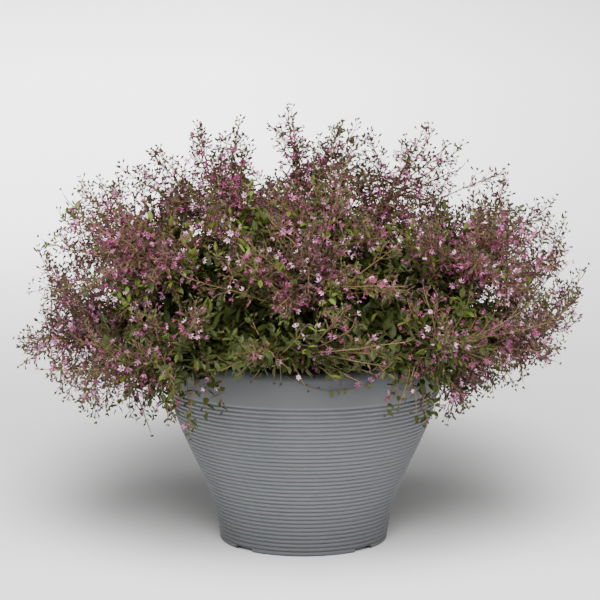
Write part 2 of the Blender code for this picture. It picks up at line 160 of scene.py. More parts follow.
# How far twigs' ends turn up to the light: the least rise of a heading that turns, the rise
# at which it turns in full, and how far a twig's bend bows out as a share of its length
RISE_FROM = -0.05
RISE_FULL = 0.40
TWIG_RISE = 0.34
TWIG_BOW = 0.22
STEEPEST_BOW = 2.0
SHOOT_LIFT = 0.50

# The source's rings of masses: name, count, lift of the aims, first turn and the lifts at
# which the boughs leave the head and end, in degrees, and how far out the boughs end
Ring = namedtuple("Ring", "name count lift first start root_lift root_reach")
RINGS = (
    Ring("skirt", 8, 2, 0, 10, 11, 0.095),
    Ring("shoulder", 6, 33, 30, 38, 33, 0.075),
    Ring("upper", 4, 61, 20, 63, 61, 0.070),
    Ring("top", 1, 90, 0, 90, 90, 0.065),
)

# The crown's outline from the front: the furthest tips, as an angle from +X in degrees
# and a reach from the hub, and how far they swing to the front or back
OUTLINE_TIPS = (
    (-24, 0.200), (-10, 0.228), (0, 0.276), (10, 0.322), (19, 0.324), (30, 0.322), (40, 0.306),
    (53, 0.297), (61, 0.290), (72, 0.262), (81, 0.264), (93, 0.277), (107, 0.271), (116, 0.286),
    (127, 0.285), (135, 0.296), (143, 0.322), (162, 0.320), (179, 0.326), (196, 0.262),
    (206, 0.215),
)
OUTLINE_SWING = 0.1
DEPTH_LOSS = 0.07
SHORTER = (0.84, 0.97)
TIP_COUNT = 126
TIP_JITTER = 0.05
MIN_SPREAD = math.radians(11)
TIP_INSET = 0.017
GOLDEN_TURN = math.radians(137.5)

# The outline of the crown's close body as the front view shows it, as an angle from +X in
# degrees and a reach from the hub: full at the sides, with hollows between the tall plumes
BODY_OUTLINE = (
    (-24, 0.185), (-12, 0.200), (-5, 0.262), (4, 0.325), (14, 0.340), (21, 0.318), (30, 0.336),
    (37, 0.292), (44, 0.226), (54, 0.228), (60, 0.160), (66, 0.176), (75, 0.240), (90, 0.202),
    (96, 0.234), (102, 0.190), (114, 0.238), (121, 0.216), (132, 0.240), (144, 0.305),
    (160, 0.318), (169, 0.308), (174, 0.272), (180, 0.338), (193, 0.272), (198, 0.196),
    (206, 0.158),
)
VIEW_TILT = math.tan(math.radians(8.53))
VIEW_DISTANCE = 2.65
BODY_DEPTH_LOSS = 0.06

# Further tips. Plumes are bunches close beside the source's own tips, where these stand no
# lower than PLUME_LOWEST from the hub. Fill tips stand between them. Edge tips follow the
# outline, half as many where they aim above EDGE_THIN_ABOVE. Inner tips grow where the solids
# have their cores, and the belt's leafy ones in the crown's heart over the rim. The fringe
# hangs over the rim at the front
PLUME_LOWEST = -0.06
PLUME_TWIGS = 2
OUTLINE_PLUME_TWIGS = 4
PLUME_SPREAD = 0.012
PLUME_SHORTER = (0.83, 1.02)
FILL_SHORTER = (0.78, 1.06)
FILL_SPREAD = math.radians(6.0)
EDGE_COUNT = 88
EDGE_SWING = 0.36
EDGE_SHORTER = (0.89, 1.08)
EDGE_THIN_ABOVE = 0.78
INNER_COUNT = 470
INNER_SHORTER = (0.42, 0.76)
INNER_SPREAD = math.radians(4.8)
BELT_COUNT = 72
BELT_LIFT = (math.radians(4), math.radians(26))
BELT_SHARE = (0.45, 0.74)
FRINGE_COUNT = 26
FRINGE_HALF_TURN = math.radians(58)
FRINGE_LIFT = (math.radians(1.0), math.radians(5.0))
FRINGE_SHARE = (0.56, 0.80)

# Sprays that hang over the rim at the front: the turn from the front in degrees, how far
# out the tip is from the pot's axis, and its height
HANGING_SPRAYS = (
    (-52, 0.212, 0.186), (-45, 0.206, 0.174), (-38, 0.197, 0.160), (-34, 0.186, 0.182),
    (-29, 0.180, 0.190), (33, 0.184, 0.192), (38, 0.194, 0.179), (46, 0.202, 0.190),
)
HANGING_FOOT = (math.radians(12), 0.085)
HANGING_TOP = 0.242

# The thin runner that sags over the lip at the front
RUNNER_TURNS = (math.radians(-97), math.radians(-56))
RUNNER_STEPS = 14
RUNNER_TOP = 0.2135
RUNNER_SAG = 0.0165
RUNNER_OFF = 0.0026
RUNNER_INSIDE = 0.022
RUNNER_RISE = 0.010
RUNNER_RADIUS = 0.00055
RUNNER_LEAVES = 0.35
RUNNER_LEAF_SHARE = (0.45, 1.0)
RUNNER_LEAF_OUT = 0.5
RUNNER_LEAF_SWAY = 0.7
RUNNER_BUDS = 0.55
RUNNER_BUD_OUT = 0.6
RUNNER_BUD_UP = 0.5
RUNNER_BUD_SWAY = 1.0
RUNNER_BLOSSOMS_FROM = 8

# The pot's face shows under the crown at the front, and twigs hang lower at the sides
FRONT_HALF_TURN = math.radians(30)
FRONT_LOWEST = math.radians(5)
FRONT_BARE_TURN = math.radians(26)
FRONT_BARE_LIFT = math.radians(0.5)
SKIRT_LOWEST = math.radians(-24)
SKIRT_FULL_TURN = math.radians(85)
LIFT_SLACK = math.radians(2)
REACH_SLACK = 0.008
POT_CLEARANCE = 0.0015

# Nodes along a twig, back from its tip
FIRST_NODE = 0.006
NODE_STEP = 0.0100
TIP_RUN = 0.042
TIP_NODE_STEP = 0.0074
STEP_SPREAD = (0.8, 1.25)
NODE_TURN = math.pi / 2
NODE_TURN_SPREAD = 0.35
BUD_RUN = 0.017
FLOWERING_FROM = 0.60
LEAFY_FROM = 0.24
LEAFY_TO = 0.77
FLOWER_CHANCE = 0.73
RIM_FLOWERS = 0.28
LEAFY_TWIG_CHANCE = 0.10

# Side shoots
FIRST_SHOOT = 0.013
OWN_SHOOTS = 0.41
EDGE_SHOOTS = 0.33
FILL_SHOOTS = 0.24
LEAFY_SHOOT_CHANCE = 0.20
SHOOT_SHARE = 0.62
SHOOT_LENGTHS = (0.6, 1.15)
SHOOT_LONGEST = 0.046
SHOOT_SHORTEST = 0.009
SHOOT_NODE_STEP = 0.0074
SHOOT_FIRST_NODE = FIRST_NODE * 0.8
SHOOT_BUD_RUN = BUD_RUN * 0.6
SHOOT_DRESSED = 0.85
SHOOT_OWN_TONES = 0.5
SHOOT_LEAN = (math.radians(26), math.radians(46))
SHOOT_BEND = 0.55
SHOOT_RISE = 0.30
SHOOT_STEPS = 2
SHOOT_SIDES = 3
SHOOT_FOOT = 0.00062
SHOOT_TIP = 0.00036
LEAFY_SHOOTS = (0.014, 0.034)

# Stalks, buds and blossoms
STALK_LENGTH = (0.003, 0.0065)
STALK_RADIUS = 0.00036
STALK_SEAT = 0.0008
STALK_RUN_IN = 1.05
STALK_LEAN = (math.radians(34), math.radians(58))
FLOWER_LEAN = (math.radians(55), math.radians(95))
FLOWER_NOD = 0.22
SWAY = 0.3
BUD_LENGTH = (0.0050, 0.0074)
BUD_RADIUS = 0.00132
BUD_WIDEST = 0.62
TIP_BUDS = (2, 3)
TIP_BUD_LENGTH = (0.0030, 0.0048)
TIP_BUD_RADIUS = 0.00114
TIP_BUD_WIDEST = 0.55
TIP_BUD_LEAN = (0.15, 0.95)
BLOSSOM_CHANCE = 0.35
BLOSSOM_SIZE = (0.88, 1.20)
BLOSSOM_OPEN = (0.60, 1.10)
CALYX_LENGTH = 0.0064
CALYX_RADIUS = 0.00122
CALYX_WIDEST = 0.62
CALYX_END = 1.12
PETALS = 6
UPPER_PETALS = 1.2
PETAL_INNER = 0.0005
PETAL_WIDEST = 0.0022
PETAL_HALF_WIDTH = 0.00090
PETAL_OUTER = 0.0036
PETAL_FORWARD = 0.0006
PETAL_AHEAD = 0.0024
PETAL_FOLD = 0.0003

# Leaves and bracts. Those in the body's shade are larger and mostly take the dark leaf colour as
# painted shade
LEAF_LENGTH = (0.0080, 0.0130)
LEAF_SLIM = (0.46, 0.60)
LEAF_TILT = 0.5
LEAF_LEAN = 1.05
SHOOT_LEAF_LEAN = 1.0
RIM_LEAVES_BELOW = 0.272
RIM_LEAF_GROWTH = 1.05
SHADED_BELOW = 0.66
SHADED_DARK = 0.9
SHADED_GROWTH = 1.65
LEAF_CHANCE = 0.57
BRACT_LENGTH = (0.0045, 0.0080)
BRACT_CHANCE = 0.55
BRACT_SLIM = 0.42
BRACT_LEAN = 0.9

# Seeds: the source's tips and first mass, the further tips and the dressing of the twigs
TIP_SEED = 1711
TWIG_SEED = 1712
FILL_SEED = 2711
INNER_SEED = 2721
BELT_SEED = 2725
FRINGE_SEED = 2731
EDGE_SEED = 2741
PLUME_SEED = 2745
RUNNER_SEED = 2751
DRESS_SEED = 2811
SOIL_SEED = 3011

# What the functions hand on: a mass, the place of one small shape, and a spray's tones
Mass = namedtuple("Mass", "name bough aim start root")
Spot = namedtuple("Spot", "root aim up length width")
Tones = namedtuple("Tones", "leaf petal calyx bud")
Sprig = namedtuple("Sprig", "tones shoot_chance leafy")

# The tones that a spray may take, by their shares
LEAF_TONES = {"dark": 0.44, "mid": 0.47, "bright": 0.09}
PETAL_TONES = {"pale": 0.19, "rosy": 0.39, "deep": 0.42}
CALYX_TONES = {"plum": 0.62, "wine": 0.38}
BUD_TONES = {"plum": 0.65, "green": 0.35}


def colour_setting(name, description, default):
    """A colour that a user may change."""
    return FloatVectorProperty(name=name, description=description, default=default,
                               min=0.0, max=1.0, size=3, subtype="COLOR")


def power_setting(name, description, default):
    """A light's power that a user may change."""
    return FloatProperty(name=name, description=description, default=default,
                         min=0.0, unit="POWER")


class PotSettings(bpy.types.PropertyGroup):
    """Sizes and colours of the pot and its soil."""

    rib_relief: FloatProperty(
        name="Rib relief", description="Depth of the grooves between the ribs",
        default=0.0016, min=0.0, max=0.003, unit="LENGTH")
    lip_round: FloatProperty(
        name="Lip round", description="Radius of the rim's rolled edge",
        default=0.0085, min=0.002, max=0.012, unit="LENGTH")
    plastic: colour_setting("Plastic", "Colour of the moulded plastic", (0.104, 0.108, 0.115))
    soil: colour_setting("Soil", "Colour of the potting mix", (0.030, 0.021, 0.015))


class PlantSettings(bpy.types.PropertyGroup):
    """Counts and colours of the plant."""

    fill_tips: IntProperty(
        name="Further tips", description="Tips tried between those of the solids",
        default=430, min=0, max=2000)
    bark: colour_setting("Bark", "Colour of the woody stem and boughs", (0.120, 0.064, 0.038))
    twig: colour_setting("Twigs", "Colour of the leading twigs", (0.128, 0.090, 0.036))
    shoot: colour_setting("Shoots", "Colour of the side shoots and stalks", (0.122, 0.074, 0.040))
    leaf_dark: colour_setting("Dark leaves", "Colour of the darkest leaves", (0.032, 0.043, 0.005))
    leaf_mid: colour_setting("Middle leaves", "Colour of most leaves", (0.081, 0.092, 0.012))
    leaf_bright: colour_setting("Bright leaves", "Colour of the youngest leaves",
                                (0.116, 0.170, 0.026))
    petal_pale: colour_setting("Pale petals", "Colour of the palest petals", (0.760, 0.460, 0.600))
    petal_rosy: colour_setting("Rosy petals", "Colour of the middle petals", (0.420, 0.150, 0.280))
    petal_deep: colour_setting("Deep petals", "Colour of the deepest petals", (0.235, 0.042, 0.115))
    plum: colour_setting("Plum", "Colour of dark buds and flower tubes", (0.042, 0.022, 0.016))
    wine: colour_setting("Wine", "Colour of wine red flower tubes", (0.108, 0.028, 0.035))
    green_bud: colour_setting("Green buds", "Colour of the youngest buds", (0.050, 0.058, 0.012))


class StageSettings(bpy.types.PropertyGroup):
    """The plain backdrop and its lights."""

    backdrop: colour_setting("Backdrop", "Colour of the floor and the wall it sweeps up into",
                             (0.90, 0.90, 0.895))
    over_power: power_setting("Light above", "Power of the large light high over the front", 106.0)
    front_power: power_setting("Light in front", "Power of the large light over the camera", 164.0)
    side_power: power_setting("Side lights", "Power of each weak light at the sides", 30.0)
    # Painted light: the far backdrop glows by its own emission
    glow: FloatProperty(
        name="Backdrop glow", description="Strength of the light on the far backdrop",
        default=3.2, min=0.0)
    room_light: FloatProperty(
        name="Room light", description="Strength of the even light from above",
        default=0.04, min=0.0)


# Small helpers

def deselect_all():
    """Leave edit mode and select nothing."""
    if bpy.context.object and bpy.context.object.mode != "OBJECT":
        bpy.ops.object.mode_set(mode="OBJECT")
    bpy.ops.object.select_all(action="DESELECT")


def mesh_object(name, corners, faces, edges=()):
    """A new object, alone selected and active, from corners and faces or loose edges."""
    deselect_all()
    mesh = bpy.data.meshes.new(name)
    mesh.from_pydata(corners, edges, faces)
    made = bpy.data.objects.new(name, mesh)
    bpy.context.scene.collection.objects.link(made)
    made.select_set(True)
    bpy.context.view_layer.objects.active = made
    return made


def spun_object(name, profile, sides):
    """Spin an open profile of (radius, height) points round the pot's axis, as by hand."""
    points = [(radius, 0, height) for radius, height in profile]
    made = mesh_object(name, points, [], [(k, k + 1) for k in range(len(points) - 1)])
    bpy.ops.object.mode_set(mode="EDIT")
    bpy.ops.mesh.select_all(action="SELECT")
    bpy.ops.mesh.spin(steps=sides, angle=math.tau, center=(0, 0, 0), axis=(0, 0, 1))
    bpy.ops.mesh.select_all(action="SELECT")
    bpy.ops.mesh.remove_doubles(threshold=SMALLEST * 10)
    bpy.ops.mesh.normals_make_consistent(inside=False)
    bpy.ops.object.mode_set(mode="OBJECT")
    return made


def finish_piece(piece, material, slot, *nodes):
    """Give a piece its material, its body and the solids that it stands for. Its slot is not used.
    """
    piece.data.materials.clear()
    piece.data.materials.append(material)
    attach(piece, BODY)
    if nodes:
        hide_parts(*nodes)


# Materials

# Plastic of the pot
PLASTIC_ROUGHNESS = 0.62
PLASTIC_DULLER = (0.58, 0.68)
PLASTIC_SPECULAR = 0.3
CLOUD_SCALE = 9.0
CLOUD_DETAIL = 5.0
CLOUD_SPREAD = (0.3, 0.7)
CLOUD_SHADES = (0.94, 1.06)
GRAIN_SCALE = 900.0
GRAIN_DETAIL = 2.0
GRAIN_HEIGHT = 0.00012
GRAIN_STRENGTH = 0.5
# Painted shade in the grooves, darker where they are deeper
GROOVE_SPREAD = (0.05, 0.8)
GROOVE_SHARE = 0.9
GROOVE_PAINTED_SHADE = 0.60
# Painted shade on the smooth band under the lip, where the crown overhangs it
BAND_EDGE = (0.002, 0.004)
BAND_PAINTED_SHADE = 0.68
# Painted shade, darker towards the foot
FOOT_PAINTED_SHADE = 0.62
FOOT_PAINTED_SHADE_TOP = 0.065

# Potting mix
MIX_ROUGHNESS = 0.95
CRUMB_SCALE = 260.0
CRUMB_DETAIL = 6.0
CRUMB_SPREAD = (0.35, 0.72)
CRUMB_SHADES = (0.55, 2.1)
CRUMB_HEIGHT = 0.0012
CRUMB_STRENGTH = 0.8
DAMP_SCALE = 45.0
DAMP_DETAIL = 3.0
DAMP_SPREAD = (0.4, 0.65)
DAMP_SHARE = 0.6
DAMP_SHADE = 0.7

# Bark
BARK_ROUGHNESS = 0.84
STRING_SCALE = 420.0
STRING_DETAIL = 5.0
STRING_STRETCH = (1, 1, 0.16)
STRING_SPREAD = (0.35, 0.65)
STRING_SHADES = (0.55, 1.5)
STRING_HEIGHT = 0.0006
STRING_STRENGTH = 0.7
GREY_SCALE = 60.0
GREY_DETAIL = 3.0
GREY_SPREAD = (0.45, 0.7)
GREY_SHARE = 0.5
GREY_BARK = (0.16, 0.13, 0.10)

# Leaves, twigs and flowers
LEAFY_SPECULAR = 0.3
LEAF_ROUGHNESS = 0.62
TWIG_ROUGHNESS = 0.6
PETAL_ROUGHNESS = 0.6
BUD_ROUGHNESS = 0.55


def principled(name, colour, roughness):
    """A Principled material and its shader node."""
    material = bpy.data.materials.new(name)
    material.use_nodes = True
    shader = material.node_tree.nodes["Principled BSDF"]
    shader.inputs["Base Color"].default_value = (*colour, 1.0)
    shader.inputs["Roughness"].default_value = roughness
    material.diffuse_color = (*colour, 1.0)
    return material, shader


def noise_node(material, scale, detail, stretch=(1, 1, 1)):
    """A noise texture on Object coordinates, stretched by a mapping."""
    nodes = material.node_tree.nodes
    links = material.node_tree.links
    place = nodes.new("ShaderNodeTexCoord")
    mapping = nodes.new("ShaderNodeMapping")
    mapping.inputs["Scale"].default_value = stretch
    texture = nodes.new("ShaderNodeTexNoise")
    texture.inputs["Scale"].default_value = scale
    texture.inputs["Detail"].default_value = detail
    links.new(place.outputs["Object"], mapping.inputs["Vector"])
    links.new(mapping.outputs["Vector"], texture.inputs["Vector"])
    return texture


def mix_by(material, factor, low, high):
    """A colour that runs from low to high by a factor socket."""
    nodes = material.node_tree.nodes
    mix = nodes.new("ShaderNodeMix")
    mix.data_type = "RGBA"
    material.node_tree.links.new(factor, mix.inputs["Factor"])
    for socket, colour in (("A_Color", low), ("B_Color", high)):
        target = next(s for s in mix.inputs if s.identifier == socket)
        if isinstance(colour, bpy.types.NodeSocket):
            material.node_tree.links.new(colour, target)
        else:
            target.default_value = (*colour, 1.0)
    return next(s for s in mix.outputs if s.identifier == "Result_Color")


def ranged(material, value, low, high, to_low, to_high, easing="LINEAR"):
    """A value mapped from one range to another and clamped."""
    node = material.node_tree.nodes.new("ShaderNodeMapRange")
    node.interpolation_type = easing
    node.inputs["From Min"].default_value = low
    node.inputs["From Max"].default_value = high
    node.inputs["To Min"].default_value = to_low
    node.inputs["To Max"].default_value = to_high
    material.node_tree.links.new(value, node.inputs["Value"])
    return node.outputs["Result"]


def add_bump(material, shader, height, distance, strength):
    """Bump from a height socket."""
    bump = material.node_tree.nodes.new("ShaderNodeBump")
    bump.inputs["Strength"].default_value = strength
    bump.inputs["Distance"].default_value = distance
    material.node_tree.links.new(height, bump.inputs["Height"])
    material.node_tree.links.new(bump.outputs["Normal"], shader.inputs["Normal"])


def shade(colour, factor):
    """A colour made darker or lighter by a factor."""
    return tuple(min(1.0, channel * factor) for channel in colour)


def object_axes(material):
    """The sockets of Object coordinates: the whole vector, and its three parts by name."""
    place = material.node_tree.nodes.new("ShaderNodeTexCoord").outputs["Object"]
    parts = material.node_tree.nodes.new("ShaderNodeSeparateXYZ")
    material.node_tree.links.new(place, parts.inputs["Vector"])
    return place, parts.outputs


def shaded_by(material, share, colour, shades):
    """A colour that runs from one shade of itself to another by a share socket."""
    return mix_by(material, share, shade(colour, shades[0]), shade(colour, shades[1]))


def plastic_material(colour):
    """Moulded plastic: faintly cloudy, with a fine grain, and painted shade in its grooves, on the
    smooth band under the lip and towards the foot.
    """
    material, shader = principled("moulded_plastic", colour, PLASTIC_ROUGHNESS)
    shader.inputs["Specular IOR Level"].default_value = PLASTIC_SPECULAR
    clouds = noise_node(material, CLOUD_SCALE, CLOUD_DETAIL).outputs["Fac"]
    grain = noise_node(material, GRAIN_SCALE, GRAIN_DETAIL).outputs["Fac"]
    groove = material.node_tree.nodes.new("ShaderNodeAttribute")
    groove.attribute_name = "groove"
    cloudy = ranged(material, clouds, *CLOUD_SPREAD, 0.0, 1.0)
    face = shaded_by(material, cloudy, colour, CLOUD_SHADES)
    up = object_axes(material)[1]["Z"]
    edge = [POT_HEIGHT - BAND_DEPTH + step for step in BAND_EDGE]
    # Painted shade: the smooth band under the lip is darker
    band = ranged(material, up, *edge, 0.0, 1.0)
    smooth = mix_by(material, band, face, shade(colour, BAND_PAINTED_SHADE))
    # Painted shade: darker towards the foot
    low = ranged(material, up, 0.0, FOOT_PAINTED_SHADE_TOP, 1.0, 0.0)
    footed = mix_by(material, low, smooth, shade(colour, FOOT_PAINTED_SHADE))
    # Painted shade: the grooves are darkened by their depth
    painted_groove_shade = ranged(material, groove.outputs["Fac"], *GROOVE_SPREAD, 0.0, GROOVE_SHARE)
    tinted = mix_by(material, painted_groove_shade, footed, shade(colour, GROOVE_PAINTED_SHADE))
    links = material.node_tree.links
    links.new(tinted, shader.inputs["Base Color"])
    rough = ranged(material, clouds, *CLOUD_SPREAD, *PLASTIC_DULLER)
    links.new(rough, shader.inputs["Roughness"])
    add_bump(material, shader, grain, GRAIN_HEIGHT, GRAIN_STRENGTH)
    return material


def soil_material(colour):
    """Crumbly potting mix in several browns."""
    material, shader = principled("potting_mix", colour, MIX_ROUGHNESS)
    crumbs = noise_node(material, CRUMB_SCALE, CRUMB_DETAIL).outputs["Fac"]
    patches = noise_node(material, DAMP_SCALE, DAMP_DETAIL).outputs["Fac"]
    share = ranged(material, crumbs, *CRUMB_SPREAD, 0.0, 1.0)
    brown = shaded_by(material, share, colour, CRUMB_SHADES)
    damp = ranged(material, patches, *DAMP_SPREAD, 0.0, DAMP_SHARE)
    mixed = mix_by(material, damp, brown, shade(colour, DAMP_SHADE))
    material.node_tree.links.new(mixed, shader.inputs["Base Color"])
    add_bump(material, shader, crumbs, CRUMB_HEIGHT, CRUMB_STRENGTH)
    return material


def bark_material(colour):
    """Thin stringy bark, lighter on its ridges."""
    material, shader = principled("stringy_bark", colour, BARK_ROUGHNESS)
    strings = noise_node(material, STRING_SCALE, STRING_DETAIL, STRING_STRETCH).outputs["Fac"]
    patches = noise_node(material, GREY_SCALE, GREY_DETAIL).outputs["Fac"]
    share = ranged(material, strings, *STRING_SPREAD, 0.0, 1.0)
    streaks = shaded_by(material, share, colour, STRING_SHADES)
    grey = ranged(material, patches, *GREY_SPREAD, 0.0, GREY_SHARE)
    mixed = mix_by(material, grey, streaks, GREY_BARK)
    material.node_tree.links.new(mixed, shader.inputs["Base Color"])
    add_bump(material, shader, strings, STRING_HEIGHT, STRING_STRENGTH)
    return material


def leafy_material(name, colour, roughness):
    """A plain colour for the leaves, buds, petals or twigs of one tone."""
    material, shader = principled(name, colour, roughness)
    shader.inputs["Specular IOR Level"].default_value = LEAFY_SPECULAR
    return material


# Pot and soil

def pot_radius(height):
    """The pot's outer radius: a late, easy flare under the rim band, which flares a little."""
    ribbed = POT_HEIGHT - BAND_DEPTH
    if height >= ribbed:
        up = (height - ribbed) / BAND_DEPTH
        return BAND_FOOT_RADIUS + (RIM_RADIUS - BAND_FOOT_RADIUS) * up
    up = max(height, 0.0) / ribbed
    eased = (1 - math.cos(math.pi * up ** FLARE_LATE)) / 2
    flare = FLARE_STRAIGHT * up + (1 - FLARE_STRAIGHT) * eased
    return FOOT_RADIUS + (BAND_FOOT_RADIUS - FOOT_RADIUS) * flare


def inner_radius(height, relief):
    """The pot's inner radius, one wall in from the grooves."""
    return pot_radius(height) - relief - WALL


def groove_depth(phase):
    """How deep the face lies at a phase between two grooves, as a share of the relief."""
    return ((1 + math.cos(math.tau * phase)) / 2) ** GROOVE_SHARPNESS


def pot_profile(relief, lip_round):
    """The profile from the middle of the underside, up the ribs, over the lip and inside."""
    ribbed = POT_HEIGHT - BAND_DEPTH
    pitch = ribbed / RIB_COUNT
    points = [(0, 0), (FOOT_RADIUS - FOOT_ROUND, 0), (FOOT_RADIUS, FOOT_ROUND)]
    for k in range(RIB_COUNT):
        for phase in RIB_PHASES:
            height = (k + phase) * pitch
            if height > FOOT_ROUND:
                points.append((pot_radius(height) - relief * groove_depth(phase), height))
    for phase in RIB_PHASES[:LAST_GROOVE_PHASES]:
        height = ribbed + phase * pitch
        points.append((pot_radius(height) - relief * groove_depth(phase), height))
    spring = POT_HEIGHT - lip_round
    points.append((pot_radius((ribbed + spring) / 2), (ribbed + spring) / 2))
    for k in range(LIP_STEPS + 1):
        turn = math.pi / 2 * k / LIP_STEPS
        out = pot_radius(spring) - lip_round * (1 - math.cos(turn))
        points.append((out, spring + lip_round * math.sin(turn)))
    wall = inner_radius(POT_HEIGHT, relief) - lip_round
    points += [(wall + LIP_FLAT, POT_HEIGHT), (wall, POT_HEIGHT - LIP_FLAT)]
    for share in INNER_HEIGHTS:
        height = FLOOR + (POT_HEIGHT - FLOOR) * share
        points.append((min(wall, inner_radius(height, relief)), height))
    return points + [(0, FLOOR)]


def mark_grooves(pot, relief):
    """Store on each point how deep it lies in a groove, for the painted shade in the plastic's
    grooves.
    """
    marks = pot.data.attributes.new("groove", "FLOAT", "POINT")
    depths = []
    for vert in pot.data.vertices:
        out = math.hypot(vert.co.x, vert.co.y)
        deep = (pot_radius(vert.co.z) - out) / relief
        ribbed = vert.co.z < POT_HEIGHT - BAND_DEPTH + POT_HEIGHT / RIB_COUNT
        in_groove = ribbed and deep < GROOVE_DEEPEST
        depths.append(min(1.0, max(0.0, deep)) if in_groove else 0.0)
    marks.data.foreach_set("value", depths)


def cut_notches(pot):
    """Cut the short notches under the foot's edge."""
    cutters = []
    for k in range(NOTCH_COUNT):
        turn = math.tau * (k + 0.5) / NOTCH_COUNT
        place = (FOOT_RADIUS * math.cos(turn), FOOT_RADIUS * math.sin(turn), 0)
        deselect_all()
        bpy.ops.mesh.primitive_cube_add(size=1, location=place, rotation=(0, 0, turn))
        cutter = bpy.context.object
        cutter.scale = (2 * NOTCH_DEPTH, NOTCH_WIDTH, 2 * NOTCH_HEIGHT)
        bpy.ops.object.transform_apply(location=True, rotation=True, scale=True)
        cutters.append(cutter)
    for cutter in cutters:
        deselect_all()
        pot.select_set(True)
        bpy.context.view_layer.objects.active = pot
        cut = pot.modifiers.new("notch", "BOOLEAN")
        cut.operation = "DIFFERENCE"
        cut.object = cutter
        bpy.ops.object.modifier_apply(modifier=cut.name)
        bpy.data.objects.remove(cutter, do_unlink=True)


def soil_top(share):
    """The height of the soil's mound at a share of the way in from its edge."""
    return SOIL_EDGE + (SOIL_HIGH.z - SOIL_EDGE) * min(1.0, share * SOIL_CREST)


def soil_profile(relief):
    """The plug of soil from the middle of its underside to the middle of its top."""
    points = [(0, SOIL_LOW.z)]
    for share in SOIL_SIDE_SHARES:
        height = SOIL_LOW.z + (SOIL_EDGE - SOIL_LOW.z) * share
        points.append((inner_radius(height, relief) - SOIL_GAP, height))
    edge = points[-1][0]
    for k in range(1, SOIL_RINGS):
        share = k / SOIL_RINGS
        points.append((edge * (1 - share), soil_top(share)))
    return points + [(0, SOIL_HIGH.z)]


def crumble(soil):
    """Roughen the soil's top."""
    for vert in soil.data.vertices:
        out = math.hypot(vert.co.x, vert.co.y)
        if vert.co.z < SOIL_EDGE - SMALLEST or out < STEM_FLARE_RADIUS:
            continue
        coarse = noise.noise(vert.co * COARSE_LUMPS)
        fine = noise.noise(vert.co * FINE_LUMPS)
        vert.co.z += SOIL_RELIEF * (coarse + FINE_LUMP_SHARE * fine)


def clod_spots(edge):
    """Where the loose clods lie, half sunk in the soil's top."""
    chance = random.Random(SOIL_SEED)
    spots = []
    for _ in range(CLOD_COUNT):
        out = edge * math.sqrt(chance.uniform(*CLOD_AREA))
        turn = chance.uniform(0, math.tau)
        height = soil_top(1 - out / edge)
        size = chance.uniform(*CLOD_SIZES)
        root = Vector((out * math.cos(turn), out * math.sin(turn), height + size * CLOD_LIFT))
        aim = Vector([chance.uniform(-1, 1) for _ in range(3)]).normalized()
        width = size * chance.uniform(*CLOD_WIDTHS)
        spots.append(Spot(root, aim, aim.orthogonal(), size, width))
    return spots


def clod_shape():
    """A lump with twenty faces, from Blender's own ball."""
    bm = bmesh.new()
    bmesh.ops.create_icosphere(bm, subdivisions=1, radius=1)
    corners = [vert.co * (1 + CLOD_RELIEF * noise.noise(vert.co * CLOD_LUMPS)) for vert in bm.verts]
    faces = [[vert.index for vert in face.verts] for face in bm.faces]
    bm.free()
    return corners, faces


# Joined meshes from arrays

def unit_rows(rows):
    """Rows scaled to length 1."""
    return rows / np.linalg.norm(rows, axis=1, keepdims=True)


def joined_copies(name, corners, faces, spots):
    """One object from a small shape copied to many spots."""
    shape = np.array(corners, dtype=float)
    roots = np.array([spot.root for spot in spots], dtype=float)
    aims = unit_rows(np.array([spot.aim for spot in spots], dtype=float))
    ups = np.array([spot.up for spot in spots], dtype=float)
    sides = unit_rows(np.cross(ups, aims))
    tops = np.cross(aims, sides)
    lengths = np.array([spot.length for spot in spots])[:, None]
    widths = np.array([spot.width for spot in spots])[:, None]
    axes = np.stack((aims * lengths, sides * widths, tops * widths), axis=1)
    placed = roots[:, None, :] + np.einsum("ni,mij->mnj", shape, axes)
    steps = np.arange(len(spots)) * len(shape)
    copied = []
    for face in faces:
        copied.append(np.array(face)[None, :] + steps[:, None])
    rows = [row for block in copied for row in block.tolist()]
    return mesh_object(name, placed.reshape(-1, 3).tolist(), rows)


def close_rings(faces, first, count, sides):
    """Faces up the rings of corners, to the one corner after them, and under the first ring."""
    for k in range(count - 1):
        low = first + k * sides
        for n in range(sides):
            m = (n + 1) % sides
            faces.append((low + n, low + m, low + sides + m, low + sides + n))
    low = first + (count - 1) * sides
    end = first + count * sides
    for n in range(sides):
        faces.append((low + n, low + (n + 1) % sides, end))
    faces.append(tuple(first + n for n in reversed(range(sides))))


def add_tube(corners, faces, points, foot, tip, sides, relief=None):
    """Add a tapering tube along a path, which ends in a point, to corners and faces."""
    first = len(corners)
    last = len(points) - 1
    heading = (points[1] - points[0]).normalized()
    turn = Vector((0, 0, 1)).rotation_difference(heading)
    for k in range(last):
        ahead = (points[k + 1] - points[max(k - 1, 0)]).normalized()
        turn = heading.rotation_difference(ahead) @ turn
        heading = ahead
        radius = foot + (tip - foot) * k / last
        across = turn @ Vector((1, 0, 0))
        beside = turn @ Vector((0, 1, 0))
        for n in range(sides):
            angle = math.tau * n / sides
            spoke = across * math.cos(angle) + beside * math.sin(angle)
            size = radius * relief(spoke, points[k]) if relief else radius
            corners.append(points[k] + spoke * size)
    corners.append(points[last])
    close_rings(faces, first, last, sides)


def tubes_object(name, tubes):
    """One object from many (points, foot radius, tip radius, sides) tubes."""
    corners = []
    faces = []
    for points, foot, tip, sides in tubes:
        add_tube(corners, faces, points, foot, tip, sides)
    made = mesh_object(name, corners, faces)
    made.data.shade_smooth()
    return made


# The source's rule

def towards(lift, turn):
    """The unit vector at a lift above level and a turn round Z."""
    level = math.cos(lift)
    return Vector((level * math.cos(turn), level * math.sin(turn), math.sin(lift)))


